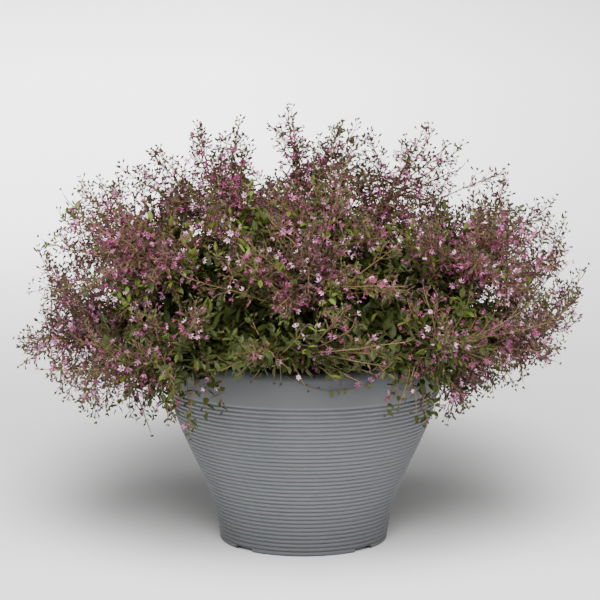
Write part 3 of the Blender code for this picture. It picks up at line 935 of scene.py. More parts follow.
def bent(controls, t):
    """The point at t on a quadratic curve with the controls start, bend and end."""
    start, bend, end = controls
    return start * (1 - t) ** 2 + bend * 2 * t * (1 - t) + end * t ** 2


def bent_heading(controls, t):
    """The unit heading at t on a quadratic curve."""
    start, bend, end = controls
    return ((bend - start) * (1 - t) + (end - bend) * t).normalized()


def curve(controls, steps):
    """Points along a quadratic curve."""
    return [bent(controls, k / steps) for k in range(steps + 1)]


def read_outline(outline, angle):
    """The value of an outline at an angle from +X, in the plane across the front."""
    degrees = math.degrees(angle)
    if degrees <= outline[0][0]:
        return outline[0][1]
    for (low, near), (high, far) in zip(outline, outline[1:]):
        if degrees <= high:
            return near + (far - near) * (degrees - low) / (high - low)
    return outline[-1][1]


def both_sides(outline, aim):
    """An outline's value along a unit vector from the hub, mixed from its right and left."""
    level = math.hypot(aim.x, aim.y)
    lift = math.atan2(aim.z, level)
    rightward = 0.5 if level < SMALLEST else 0.5 + 0.5 * aim.x / level
    right = read_outline(outline, lift)
    left = read_outline(outline, math.pi - lift)
    return right * rightward + left * (1 - rightward)


def reach(aim):
    """How far the crown reaches along a unit vector from the hub."""
    return both_sides(OUTLINE_TIPS, aim) * (1 - DEPTH_LOSS * aim.y ** 2)


def seen_from_front(arm):
    """Where the end of an arm from the hub shows in the outline's plane: angle and reach."""
    scale = 1 / (1 + arm.y / VIEW_DISTANCE)
    across = arm.x * scale
    up = (arm.z + arm.y * VIEW_TILT) * scale
    angle = (math.atan2(up, across) + math.pi / 2) % math.tau - math.pi / 2
    return angle, math.hypot(across, up)


def body_reach(aim):
    """How far the crown's close body reaches along a unit vector from the hub."""
    far = reach(aim) * (1 - BODY_DEPTH_LOSS * aim.y ** 2)
    angle, seen = seen_from_front(aim * far)
    return far * min(1.0, read_outline(BODY_OUTLINE, angle) / max(seen, SMALLEST))


def lowest_lift(aim):
    """The lowest lift that twigs may take on this side of the crown."""
    from_front = abs(math.atan2(aim.x, -aim.y))
    return FRONT_LOWEST if from_front < FRONT_HALF_TURN else SKIRT_LOWEST


def droop_limit(aim):
    """The lowest lift of further twigs, which falls by and by from the front to the sides."""
    from_front = abs(math.atan2(aim.x, -aim.y))
    share = (from_front - FRONT_HALF_TURN) / (SKIRT_FULL_TURN - FRONT_HALF_TURN)
    share = min(1.0, max(0.0, share))
    return FRONT_LOWEST + (SKIRT_LOWEST - FRONT_LOWEST) * share


def plan_masses():
    """Name and place every mass, with its bough's start and end."""
    masses = []
    for ring in RINGS:
        for k in range(ring.count):
            turn = math.radians(ring.first + 360 * k / ring.count)
            aim = towards(math.radians(ring.lift), turn)
            start = towards(math.radians(ring.start), turn)
            root = HUB + towards(math.radians(ring.root_lift), turn) * ring.root_reach
            masses.append(Mass(f"{ring.name}_mass_{k + 1}", f"{ring.name}_bough_{k + 1}",
                               aim, start, root))
    return masses


def owner(arm, masses):
    """The mass whose cone holds the vector arm from the hub."""
    return max(masses, key=lambda mass: mass.aim.dot(arm))


def clear_of_pot(point, margin):
    """True where a point stands clear of the pot and the soil."""
    out = math.hypot(point.x, point.y)
    if out > RIM_RADIUS + margin:
        return True
    if point.z > POT_HEIGHT + margin:
        return True
    return point.z < POT_HEIGHT and out > pot_radius(point.z) + margin


def share_of_body(point):
    """How far out a point lies, as a share of the reach of the crown's body there."""
    arm = point - HUB
    return arm.length / body_reach(arm.normalized())


def allowed(point):
    """True where a point lies within the crown's reach and clear of the pot."""
    arm = point - HUB
    aim = arm.normalized()
    if arm.length > reach(aim) + REACH_SLACK:
        return False
    bare = abs(math.atan2(aim.x, -aim.y)) < FRONT_BARE_TURN
    if math.asin(aim.z) < (FRONT_BARE_LIFT if bare else SKIRT_LOWEST - LIFT_SLACK):
        return False
    return clear_of_pot(point, POT_CLEARANCE)


def crown_tips():
    """The arms to the source's twig tips: the outline's, then an even fill."""
    chance = random.Random(TIP_SEED)
    tips = []
    for degrees, far in OUTLINE_TIPS:
        angle = math.radians(degrees)
        swing = chance.uniform(-OUTLINE_SWING, OUTLINE_SWING)
        aim = Vector((math.cos(angle), swing, math.sin(angle))).normalized()
        tips.append(aim * (far - TIP_INSET))
    lowest = math.sin(SKIRT_LOWEST)
    for k in range(TIP_COUNT):
        lift = math.asin(lowest + (1 - lowest) * (k + 0.5) / TIP_COUNT)
        aim = towards(lift, k * GOLDEN_TURN)
        aim += Vector([chance.uniform(-TIP_JITTER, TIP_JITTER) for _ in range(3)])
        aim.normalize()
        arm = aim * (reach(aim) * chance.uniform(*SHORTER) - TIP_INSET)
        crowded = any(arm.angle(tip) < MIN_SPREAD for tip in tips)
        if not crowded and math.asin(aim.z) > lowest_lift(aim):
            tips.append(arm)
    return tips


def further_tips(tips, count, shorter, spread, seed):
    """Arms to further tips between the given ones, each a share of the reach long."""
    chance = random.Random(seed)
    known = [tip.normalized() for tip in tips]
    closest = math.cos(spread)
    lowest = math.sin(SKIRT_LOWEST)
    found = []
    for k in range(count):
        lift = math.asin(lowest + (1 - lowest) * (k + 0.5) / count)
        aim = towards(lift, k * GOLDEN_TURN)
        aim += Vector([chance.uniform(-TIP_JITTER, TIP_JITTER) for _ in range(3)])
        aim.normalize()
        arm = aim * (body_reach(aim) * chance.uniform(*shorter) - TIP_INSET)
        if any(aim.dot(other) > closest for other in known):
            continue
        if math.asin(aim.z) > droop_limit(aim):
            known.append(aim)
            found.append(arm)
    return found


def clipped_tips(tips):
    """The source's tips, with those between the outline's own drawn in to the body."""
    kept = tips[:len(OUTLINE_TIPS)]
    for tip in tips[len(OUTLINE_TIPS):]:
        furthest = body_reach(tip.normalized()) - TIP_INSET
        kept.append(tip * min(1.0, furthest / tip.length))
    return kept


def plume_tips(tips):
    """Arms to the tips that stand close beside the source's own."""
    chance = random.Random(PLUME_SEED)
    found = []
    for number, tip in enumerate(tips):
        count = OUTLINE_PLUME_TWIGS if number < len(OUTLINE_TIPS) else PLUME_TWIGS
        if tip.z < PLUME_LOWEST:
            count = 0
        for _ in range(count):
            sway = Vector([chance.gauss(0, PLUME_SPREAD) for _ in range(3)])
            found.append((tip + sway) * chance.uniform(*PLUME_SHORTER))
    return found


def edge_tips():
    """Arms to further tips along the outline."""
    chance = random.Random(EDGE_SEED)
    first = OUTLINE_TIPS[0][0]
    last = OUTLINE_TIPS[-1][0]
    found = []
    for k in range(EDGE_COUNT):
        angle = math.radians(first + (last - first) * (k + chance.random()) / EDGE_COUNT)
        swing = chance.uniform(-EDGE_SWING, EDGE_SWING)
        aim = Vector((math.cos(angle), swing, math.sin(angle))).normalized()
        far = body_reach(aim) * chance.uniform(*EDGE_SHORTER)
        thinned = aim.z > EDGE_THIN_ABOVE and k % 2
        if math.asin(aim.z) > droop_limit(aim) and not thinned:
            found.append(aim * (far - TIP_INSET))
    return found


def belt_tips():
    """Arms to the inner tips, all round, whose leaves close the crown's heart over the rim."""
    chance = random.Random(BELT_SEED)
    found = []
    for k in range(BELT_COUNT):
        turn = math.tau * (k + chance.random()) / BELT_COUNT
        aim = towards(chance.uniform(*BELT_LIFT), turn)
        found.append(aim * (body_reach(aim) * chance.uniform(*BELT_SHARE)))
    return found


def fringe_tips():
    """Arms to the tips that hang just over the rim at the front."""
    chance = random.Random(FRINGE_SEED)
    front = -math.pi / 2
    found = []
    for k in range(FRINGE_COUNT):
        share = (k + chance.random()) / FRINGE_COUNT
        turn = front + FRINGE_HALF_TURN * (2 * share - 1)
        aim = towards(chance.uniform(*FRINGE_LIFT), turn)
        found.append(aim * reach(aim) * chance.uniform(*FRINGE_SHARE))
    return found


def bough_controls(mass):
    """A bough's curve from the stem's head to the root of its mass."""
    foot = HUB + mass.start * HEAD_RADIUS
    bend = foot + mass.start * (mass.root - foot).length * BOUGH_BEND
    return foot, bend, mass.root


def main_controls(mass, tip):
    """The mass's main twig, which carries on from the bough."""
    heading = bent_heading(bough_controls(mass), 1.0)
    bend = mass.root + heading * (tip - mass.root).length * MAIN_BEND
    return mass.root, bend, tip


def leader_controls(main, tip, chance):
    """A leading twig from the main one: the wider it swings, the lower it leaves."""
    wide = (main[2] - main[0]).angle(tip - main[0])
    place = 1 + max(0.0, LEADER_HIGHEST - LEADER_DROP * wide)
    place += chance.uniform(-LEADER_JITTER, LEADER_JITTER)
    foot = bent(main, place / RULE_STEPS)
    heading = bent_heading(main, place / RULE_STEPS)
    bend = foot + heading * (tip - foot).length * LEADER_BEND
    return foot, bend, tip


def rise_share(heading):
    """How much of its full rise a heading takes: none where it hangs."""
    return min(1.0, max(0.0, (heading.z - RISE_FROM) / (RISE_FULL - RISE_FROM)))


def rising_controls(controls):
    """A twig's curve bowed out and down, so that its end turns up to the light."""
    foot, bend, tip = controls
    run = tip - foot
    heading = run.normalized()
    above = UP - heading * heading.z
    bow = TWIG_BOW * rise_share(heading) * min(1.0, STEEPEST_BOW * above.length)
    return foot, bend - above.normalized() * (run.length * bow), tip


def hanging_controls():
    """The curves of the sprays that hang over the rim at the front."""
    found = []
    for degrees, out, height in HANGING_SPRAYS:
        turn = math.radians(degrees) - math.pi / 2
        level = towards(0, turn)
        foot = HUB + towards(HANGING_FOOT[0], turn) * HANGING_FOOT[1]
        bend = level * out + UP * HANGING_TOP
        found.append((foot, bend, level * out + UP * height))
    return found


def runner_points():
    """The path of the runner: out over the lip, along the pot's face and in again."""
    points = []
    for k in range(RUNNER_STEPS + 1):
        share = k / RUNNER_STEPS
        turn = RUNNER_TURNS[0] + (RUNNER_TURNS[1] - RUNNER_TURNS[0]) * share
        height = RUNNER_TOP - RUNNER_SAG * 4 * share * (1 - share)
        points.append(towards(0, turn) * (RIM_RADIUS + RUNNER_OFF) + UP * height)
    inward = 1 - RUNNER_INSIDE / RIM_RADIUS
    start = Vector((points[0].x * inward, points[0].y * inward, RUNNER_TOP + RUNNER_RISE))
    end = Vector((points[-1].x * inward, points[-1].y * inward, RUNNER_TOP + RUNNER_RISE))
    return [start, *points, end]


def clears_pot(controls):
    """True where a whole twig keeps off the pot."""
    return all(clear_of_pot(point, POT_CLEARANCE) for point in curve(controls, TWIG_STEPS)[1:])


# Dressing the twigs

def pick(chance, tones):
    """One of the tones by its weight."""
    return chance.choices(list(tones), weights=list(tones.values()))[0]


def pick_tones(chance):
    """The tones of one spray."""
    return Tones(pick(chance, LEAF_TONES), pick(chance, PETAL_TONES),
                 pick(chance, CALYX_TONES), pick(chance, BUD_TONES))


def aside_of(heading, turn):
    """A unit vector square to a heading, at a turn round it."""
    return Matrix.Rotation(turn, 3, heading) @ heading.orthogonal().normalized()


def back_along(points, distance):
    """The point and heading at a distance back from a path's end."""
    for b, a in zip(points[::-1], points[-2::-1]):
        run = (b - a).length
        if distance <= run:
            return b + (a - b) * (distance / run), (b - a) / run
        distance -= run
    return None


def leaning(heading, aside, lean):
    """The unit vector that leans from a heading to one side."""
    return heading * math.cos(lean) + aside * math.sin(lean)


def over_front_rim(point):
    """True low over the rim at the front, where leaves are larger and mostly dark as painted shade,
    and flowers few.
    """
    return point.z < RIM_LEAVES_BELOW and point.y < 0 and abs(point.x) < RIM_RADIUS


def add_leaf(plant, root, aim, tones, chance, small=False):
    """A leaf, or a small bract, whose face is turned up."""
    tilts = [chance.uniform(-LEAF_TILT, LEAF_TILT) for _ in range(2)]
    up = Vector((*tilts, 1))
    length = chance.uniform(*(BRACT_LENGTH if small else LEAF_LENGTH))
    if over_front_rim(root) and not small:
        length *= RIM_LEAF_GROWTH
    shaded = share_of_body(root) < SHADED_BELOW and not small
    if shaded:
        length *= SHADED_GROWTH
    shaded = shaded or over_front_rim(root)
    if not allowed(root + aim * length):
        return
    if small:
        plant["bracts"].append(Spot(root, aim, up, length, length * BRACT_SLIM))
        return
    # Painted shade: leaves in the body's shade or low over the front rim mostly take the dark
    # colour
    tone = "dark" if shaded and chance.random() < SHADED_DARK else tones.leaf
    slim = chance.uniform(*LEAF_SLIM)
    plant["leaves_" + tone].append(Spot(root, aim, up, length, length * slim))


def swayed(aim, chance):
    """An aim turned a little any way."""
    sway = Vector([chance.uniform(-SWAY, SWAY) for _ in range(3)])
    return (aim + sway).normalized()


def add_flower(plant, root, heading, aside, young, tones, chance):
    """A stalk with a closed bud, an open blossom that nods or a spent flower tube."""
    stalk = chance.uniform(*STALK_LENGTH)
    end = root + leaning(heading, aside, chance.uniform(*STALK_LEAN)) * stalk
    lean = chance.uniform(*(STALK_LEAN if young else FLOWER_LEAN))
    nod = 0 if young else FLOWER_NOD
    aim = swayed(leaning(heading, aside, lean) - UP * nod, chance)
    if not allowed(end + aim * CALYX_LENGTH):
        return
    seat = end + aim * STALK_SEAT
    plant["stalks"].append(Spot(seat, root - end, aside, stalk, STALK_RADIUS))
    if young:
        length = chance.uniform(*BUD_LENGTH)
        plant["buds_" + tones.bud].append(Spot(end, aim, heading, length, BUD_RADIUS))
        return
    size = chance.uniform(*BLOSSOM_SIZE)
    plant["calyces_" + tones.calyx].append(Spot(end, aim, heading, size, size))
    if chance.random() < BLOSSOM_CHANCE:
        width = size * chance.uniform(*BLOSSOM_OPEN)
        plant["petals_" + tones.petal].append(Spot(end, aim, heading, size, width))


def add_tip_buds(plant, tip, heading, tones, chance):
    """The tight tuft of young buds at a shoot's end."""
    turn = chance.uniform(0, math.tau)
    for _ in range(chance.randint(*TIP_BUDS)):
        aim = leaning(heading, aside_of(heading, turn), chance.uniform(*TIP_BUD_LEAN))
        length = chance.uniform(*TIP_BUD_LENGTH)
        plant["tip_buds_" + tones.bud].append(Spot(tip, aim, heading, length, TIP_BUD_RADIUS))
        turn += GOLDEN_TURN


def shoot_path(root, heading, aside, length, chance):
    """The path of a side shoot, which bends up towards its twig's own heading."""
    aim = leaning(heading, aside, chance.uniform(*SHOOT_LEAN))
    bend = root + aim * length * SHOOT_BEND
    lift = UP * (SHOOT_LIFT * rise_share(aim))
    end = root + (aim + heading * SHOOT_RISE + lift).normalized() * length
    return curve((root, bend, end), SHOOT_STEPS)


def add_shoot(plant, root, heading, aside, length, leafy, tones, chance):
    """A side shoot with its own buds and blossoms, or with leaves. False where it has no room."""
    points = shoot_path(root, heading, aside, length, chance)
    arm = (points[-1] - HUB).normalized()
    if math.asin(arm.z) < droop_limit(arm) - LIFT_SLACK:
        return False
    if not all(allowed(point) for point in points[1:]):
        return False
    plant["shoots"].append((points, SHOOT_FOOT, SHOOT_TIP, SHOOT_SIDES))
    distance = SHOOT_FIRST_NODE
    turn = chance.uniform(0, math.tau)
    add_tip = add_leaf if leafy else add_tip_buds
    add_tip(plant, points[-1], (points[-1] - points[-2]).normalized(), tones, chance)
    while distance < length * SHOOT_DRESSED:
        spot, ahead = back_along(points, distance)
        for half in (0, math.pi):
            side = aside_of(ahead, turn + half)
            if leafy:
                add_leaf(plant, spot, leaning(ahead, side, SHOOT_LEAF_LEAN), tones, chance)
            else:
                add_flower(plant, spot, ahead, side, distance < SHOOT_BUD_RUN, tones, chance)
        if not leafy and chance.random() < BRACT_CHANCE:
            aim = leaning(ahead, aside_of(ahead, turn), BRACT_LEAN)
            add_leaf(plant, spot, aim, tones, chance, True)
        turn += NODE_TURN + chance.uniform(-NODE_TURN_SPREAD, NODE_TURN_SPREAD)
        distance += SHOOT_NODE_STEP * chance.uniform(*STEP_SPREAD)
    return True


def dress_node(plant, spot, heading, aside, distance, sprig, chance):
    """One side of a node: a side shoot, a flower or a leaf, by how far out it lies."""
    share = share_of_body(spot)
    tones = sprig.tones
    flowering = share > FLOWERING_FROM and not sprig.leafy
    if over_front_rim(spot) and chance.random() > RIM_FLOWERS:
        flowering = False
    leafing = share < LEAFY_TO or not flowering
    if flowering and distance > FIRST_SHOOT and chance.random() < sprig.shoot_chance:
        length = min(SHOOT_LONGEST, distance * SHOOT_SHARE) * chance.uniform(*SHOOT_LENGTHS)
        length = max(length, SHOOT_SHORTEST)
        own = pick_tones(chance) if chance.random() < SHOOT_OWN_TONES else tones
        if add_shoot(plant, spot, heading, aside, length, False, own, chance):
            return
    if flowering and chance.random() < FLOWER_CHANCE:
        add_flower(plant, spot, heading, aside, distance < BUD_RUN, tones, chance)
    if leafing and chance.random() < LEAF_CHANCE:
        add_leaf(plant, spot, leaning(heading, aside, LEAF_LEAN), tones, chance)
    if leafing and chance.random() < LEAFY_SHOOT_CHANCE:
        length = min(distance, chance.uniform(*LEAFY_SHOOTS))
        add_shoot(plant, spot, heading, aside, length, True, tones, chance)
    if flowering and chance.random() < BRACT_CHANCE:
        add_leaf(plant, spot, leaning(heading, aside, BRACT_LEAN), tones, chance, True)


def dress_twig(plant, points, shoot_chance, leafy, chance):
    """Nodes back from a twig's tip, each with two sides that turn from node to node."""
    sprig = Sprig(pick_tones(chance), shoot_chance, leafy)
    add_tip = add_leaf if leafy else add_tip_buds
    add_tip(plant, points[-1], (points[-1] - points[-2]).normalized(), sprig.tones, chance)
    distance = FIRST_NODE
    turn = chance.uniform(0, math.tau)
    while True:
        found = back_along(points, distance)
        if found is None or share_of_body(found[0]) < LEAFY_FROM:
            return
        spot, heading = found
        for half in (0, math.pi):
            aside = aside_of(heading, turn + half)
            dress_node(plant, spot, heading, aside, distance, sprig, chance)
        turn += NODE_TURN + chance.uniform(-NODE_TURN_SPREAD, NODE_TURN_SPREAD)
        step = TIP_NODE_STEP if distance < TIP_RUN else NODE_STEP
        distance += step * chance.uniform(*STEP_SPREAD)


def twig_points(controls, chance):
    """A twig's path, run on past the source's tip, with a slight wave from node to node."""
    points = curve(controls, TWIG_STEPS)
    for point in points[1:]:
        for axis in range(3):
            point[axis] += chance.uniform(-TWIG_WAVE, TWIG_WAVE)
    heading = bent_heading(controls, 1.0)
    for _ in range(TWIG_RUN_ON_STEPS):
        heading = (heading + UP * (TWIG_RISE * rise_share(heading))).normalized()
        points.append(points[-1] + heading * (TWIG_RUN_ON / TWIG_RUN_ON_STEPS))
    return points


def add_runner(plant):
    """The runner over the lip, with hanging leaves, upright buds and a blossom or two."""
    chance = random.Random(RUNNER_SEED)
    points = runner_points()
    plant["shoots"].append((points, RUNNER_RADIUS, SHOOT_TIP, SHOOT_SIDES))
    for k, point in enumerate(points[2:-2]):
        outward = Vector((point.x, point.y, 0)).normalized()
        heading = (points[k + 3] - point).normalized()
        if chance.random() < RUNNER_LEAVES:
            sway = heading * chance.uniform(-RUNNER_LEAF_SWAY, RUNNER_LEAF_SWAY)
            aim = (outward * RUNNER_LEAF_OUT - UP + sway).normalized()
            length = chance.uniform(*LEAF_LENGTH) * chance.uniform(*RUNNER_LEAF_SHARE)
            plant["leaves_mid"].append(Spot(point, aim, outward, length, length * LEAF_SLIM[1]))
        sway = heading * chance.uniform(-RUNNER_BUD_SWAY, RUNNER_BUD_SWAY)
        aim = (outward * RUNNER_BUD_OUT + UP * RUNNER_BUD_UP + sway).normalized()
        if k >= RUNNER_BLOSSOMS_FROM:
            plant["calyces_plum"].append(Spot(point, aim, heading, 1, 1))
            plant["petals_rosy"].append(Spot(point, aim, heading, 1, 1))
        elif chance.random() < RUNNER_BUDS:
            plant["buds_plum"].append(Spot(point, aim, heading, BUD_LENGTH[0], BUD_RADIUS))


def held_tips(arms, mass, masses):
    """The tips of those arms that a mass's cone holds."""
    return [HUB + arm for arm in arms if owner(arm, masses) is mass]


def add_twig(plant, controls, foot, shoot_chance, leafy, chance):
    """A twig with its dressing, unless it would run into the pot."""
    if not clears_pot(controls):
        return
    points = twig_points(controls, chance)
    plant["twigs"].append((points, foot, TWIG_TIP, TWIG_SIDES))
    dress_twig(plant, points, shoot_chance, leafy, chance)


def add_leader(plant, main, tip, shoot_chance, leafy, chance, dressing):
    """A leading twig from the main one to a tip, with its dressing."""
    controls = rising_controls(leader_controls(main, tip, chance))
    add_twig(plant, controls, LEADER_FOOT, shoot_chance, leafy, dressing)


@functools.lru_cache(maxsize=1)
def grown_plant(fill_count):
    """Grow every mass once: twigs as tubes, and the spots of leaves, buds and blossoms."""
    plant = defaultdict(list)
    masses = plan_masses()
    tips = clipped_tips(crown_tips())
    further = further_tips(tips, fill_count, FILL_SHORTER, FILL_SPREAD, FILL_SEED)
    further += further_tips([], INNER_COUNT, INNER_SHORTER, INNER_SPREAD, INNER_SEED)
    further += fringe_tips()
    edge = plume_tips(tips) + edge_tips()
    belt = belt_tips()
    for number, mass in enumerate(masses):
        chance = random.Random(TWIG_SEED + number)
        dressing = random.Random(DRESS_SEED + number)
        own = held_tips(tips, mass, masses)
        own.sort(key=lambda tip: (tip - HUB).angle(mass.aim))
        main = main_controls(mass, own[0])
        add_twig(plant, main, MAIN_FOOT, OWN_SHOOTS, False, dressing)
        for tip in own[1:]:
            add_leader(plant, main, tip, OWN_SHOOTS, False, chance, dressing)
        for tip in held_tips(edge, mass, masses):
            add_leader(plant, main, tip, EDGE_SHOOTS, False, chance, dressing)
        for tip in held_tips(further, mass, masses):
            leafy = dressing.random() < LEAFY_TWIG_CHANCE
            add_leader(plant, main, tip, FILL_SHOOTS, leafy, chance, dressing)
        for tip in held_tips(belt, mass, masses):
            add_leader(plant, main, tip, 0.0, True, chance, dressing)
    for controls in hanging_controls():
        add_twig(plant, controls, LEADER_FOOT, EDGE_SHOOTS, False, dressing)
    add_runner(plant)
    return plant


# Small shapes that repeat

# The faces of a closed shape with four corners
FOUR_FACES = ((0, 1, 2), (0, 2, 3), (0, 3, 1), (1, 3, 2))


def leaf_shape():
    """An ovate leaf of ten faces: a top folded along its rib, and an underside."""
    rim = [(0, 0, 0), (0.24, 0.42, 0.06), (0.60, 0.44, 0.05),
           (1, 0, -0.10), (0.60, -0.44, 0.05), (0.24, -0.42, 0.06)]
    corners = rim + [(0.45, 0, -0.13)]
    top = [(0, k + 1, k) for k in range(1, 5)]
    under = [(k, (k + 1) % 6, 6) for k in range(6)]
    return corners, top + under


def bract_shape():
    """A small folded blade of four faces."""
    corners = [(0, 0, 0), (0.45, 0.5, 0.08), (1, 0, 0), (0.45, -0.5, 0.08)]
    return corners, FOUR_FACES


def stalk_shape():
    """A thin stalk of four faces that narrows to where it leaves its twig."""
    corners = [(STALK_RUN_IN, 0, 0)]
    for k in range(3):
        turn = math.tau * k / 3
        corners.append((0, math.cos(turn), math.sin(turn)))
    return corners, FOUR_FACES


def ringed_shape(place, radius, end, sides):
    """A closed shape with a ring at a place on its axis, between its foot and its end."""
    corners = [(0, 0, 0)]
    faces = []
    for k in range(sides):
        turn = math.tau * k / sides
        corners.append((place, radius * math.cos(turn), radius * math.sin(turn)))
        after = (k + 1) % sides
        faces.append((0, 1 + after, 1 + k))
        faces.append((1 + k, 1 + after, 1 + sides))
    corners.append((end, 0, 0))
    return corners, faces


def petal_shape():
    """Six narrow petals of four faces in an open funnel at the tube's mouth."""
    corners = []
    faces = []
    ahead = Vector((1, 0, 0))
    mouth = ahead * CALYX_LENGTH
    for k in range(PETALS):
        turn = math.tau * (k + 0.5) / PETALS
        size = UPPER_PETALS if k in (0, PETALS - 1) else 1
        out = Vector((0, -math.sin(turn), math.cos(turn)))
        side = Vector((0, math.cos(turn), math.sin(turn))) * (PETAL_HALF_WIDTH * size)
        first = len(corners)
        widest = mouth + (out * PETAL_WIDEST + ahead * PETAL_FORWARD) * size
        corners.append(mouth + out * PETAL_INNER - ahead * PETAL_FOLD)
        corners.append(widest + side)
        corners.append(mouth + (out * PETAL_OUTER + ahead * PETAL_AHEAD) * size)
        corners.append(widest - side)
        for face in FOUR_FACES:
            faces.append(tuple(first + n for n in face))
    return corners, faces


def calyx_shape():
    """A three-sided flower tube, widest towards its mouth."""
    widest = CALYX_LENGTH * CALYX_WIDEST
    return ringed_shape(widest, CALYX_RADIUS, CALYX_LENGTH * CALYX_END, 3)


def bud_shape():
    """A club-shaped bud of eight faces, thickest past its middle."""
    return ringed_shape(BUD_WIDEST, 1, 1, 4)


def tip_bud_shape():
    """A young bud of six faces."""
    return ringed_shape(TIP_BUD_WIDEST, 1, 1, 3)


# Operators

class CUPHEA_OT_pot(bpy.types.Operator):
    """Model the ribbed pot in place of its solid"""

    bl_idname = "cuphea.pot"
    bl_label = "Ribbed pot"

    def execute(self, context):
        sizes = context.scene.cuphea_pot
        profile = pot_profile(sizes.rib_relief, sizes.lip_round)
        pot = spun_object("ribbed_pot", profile, POT_SIDES)
        cut_notches(pot)
        mark_grooves(pot, sizes.rib_relief)
        bpy.ops.object.shade_smooth_by_angle(angle=SHARP_ANGLE)
        finish_piece(pot, plastic_material(sizes.plastic), "pot", "pot")
        return {"FINISHED"}


class CUPHEA_OT_soil(bpy.types.Operator):
    """Model the crumbly soil in place of its solid"""

    bl_idname = "cuphea.soil"
    bl_label = "Potting mix"

    def execute(self, context):
        sizes = context.scene.cuphea_pot
        soil = spun_object("potting_mix", soil_profile(sizes.rib_relief), SOIL_SIDES)
        crumble(soil)
        edge = inner_radius(SOIL_EDGE, sizes.rib_relief) - CLOD_SIZES[1]
        joined_copies("clods", *clod_shape(), clod_spots(edge))
        soil.select_set(True)
        context.view_layer.objects.active = soil
        bpy.ops.object.join()
        finish_piece(soil, soil_material(sizes.soil), "soil", "soil")
        return {"FINISHED"}


def bark_size(spoke, point):
    """The bark's relief as a factor on the radius."""
    place = Vector((spoke.x * BARK_ROUND, spoke.y * BARK_ROUND,
                    spoke.z * BARK_ROUND + point.z * BARK_ALONG))
    knob = noise.noise(point * BARK_KNOBS)
    return 1 + BARK_RELIEF * (noise.noise(place) + BARK_KNOB_SHARE * knob)


def stem_rings():
    """Heights and radii of the woody stem, from its flat foot over its round head."""
    rings = [(STEM_LOW.z, STEM_FLARE_RADIUS)]
    for k in range(STEM_RINGS):
        lift = STEM_HEAD_FROM + (math.pi / 2 - STEM_HEAD_FROM) * k / STEM_RINGS
        rings.append((HUB.z + HEAD_RADIUS * math.sin(lift), HEAD_RADIUS * math.cos(lift)))
    return rings


def add_stem(corners, faces):
    """Add the knobbly stem to corners and faces."""
    first = len(corners)
    rings = stem_rings()
    for height, radius in rings:
        for n in range(STEM_SIDES):
            turn = math.tau * n / STEM_SIDES
            spoke = Vector((math.cos(turn), math.sin(turn), 0))
            ridge = noise.noise(Vector((spoke.x * STEM_ROUND, spoke.y * STEM_ROUND,
                                        height * STEM_ALONG)))
            size = radius * (1 + STEM_RELIEF * ridge)
            corners.append(Vector((spoke.x * size, spoke.y * size, height)))
    corners.append(Vector((0, 0, STEM_HIGH.z)))
    close_rings(faces, first, len(rings), STEM_SIDES)


class CUPHEA_OT_limbs(bpy.types.Operator):
    """Model the woody stem and boughs with their bark in place of their solids"""

    bl_idname = "cuphea.limbs"
    bl_label = "Woody limbs"

    def execute(self, context):
        corners = []
        faces = []
        add_stem(corners, faces)
        masses = plan_masses()
        for mass in masses:
            points = curve(bough_controls(mass), BOUGH_RINGS)
            add_tube(corners, faces, points, BOUGH_FOOT, BOUGH_TIP, BOUGH_SIDES, bark_size)
        limbs = mesh_object("woody_limbs", corners, faces)
        limbs.data.shade_smooth()
        nodes = ["stem"] + [mass.bough for mass in masses]
        finish_piece(limbs, bark_material(context.scene.cuphea_plant.bark), "stem", *nodes)
        return {"FINISHED"}


class CUPHEA_OT_twigs(bpy.types.Operator):
    """Grow the twigs and side shoots in place of the masses' solids"""

    bl_idname = "cuphea.twigs"
    bl_label = "Twigs and shoots"

    def execute(self, context):
        colours = context.scene.cuphea_plant
        plant = grown_plant(colours.fill_tips)
        twigs = tubes_object("leading_twigs", plant["twigs"])
        bark = leafy_material("green_bark", colours.twig, TWIG_ROUGHNESS)
        finish_piece(twigs, bark, "foliage", *[mass.name for mass in plan_masses()])
        shoots = tubes_object("side_shoots", plant["shoots"])
        skin = leafy_material("shoot_skin", colours.shoot, TWIG_ROUGHNESS)
        finish_piece(shoots, skin, "foliage")
        stalks = joined_copies("flower_stalks", *stalk_shape(), plant["stalks"])
        skin = leafy_material("stalk_skin", colours.shoot, TWIG_ROUGHNESS)
        finish_piece(stalks, skin, "foliage")
        return {"FINISHED"}


def add_pieces(kind, plural, shape, tones, roughness, context):
    """Join the copies of one kind, a piece to each tone."""
    plant = grown_plant(context.scene.cuphea_plant.fill_tips)
    for tone, colour in tones.items():
        spots = plant[f"{plural}_{tone}"]
        piece = joined_copies(f"{plural}_{tone}", *shape, spots)
        finish_piece(piece, leafy_material(f"{kind}_{tone}", colour, roughness), "foliage")


class CUPHEA_OT_leaves(bpy.types.Operator):
    """Set the leaves and bracts on the twigs"""

    bl_idname = "cuphea.leaves"
    bl_label = "Leaves"

    def execute(self, context):
        colours = context.scene.cuphea_plant
        tones = {"dark": colours.leaf_dark, "mid": colours.leaf_mid,
                 "bright": colours.leaf_bright}
        add_pieces("leaf", "leaves", leaf_shape(), tones, LEAF_ROUGHNESS, context)
        plant = grown_plant(colours.fill_tips)
        bracts = joined_copies("bracts", *bract_shape(), plant["bracts"])
        finish_piece(bracts, leafy_material("bract", colours.shoot, BUD_ROUGHNESS), "foliage")
        return {"FINISHED"}


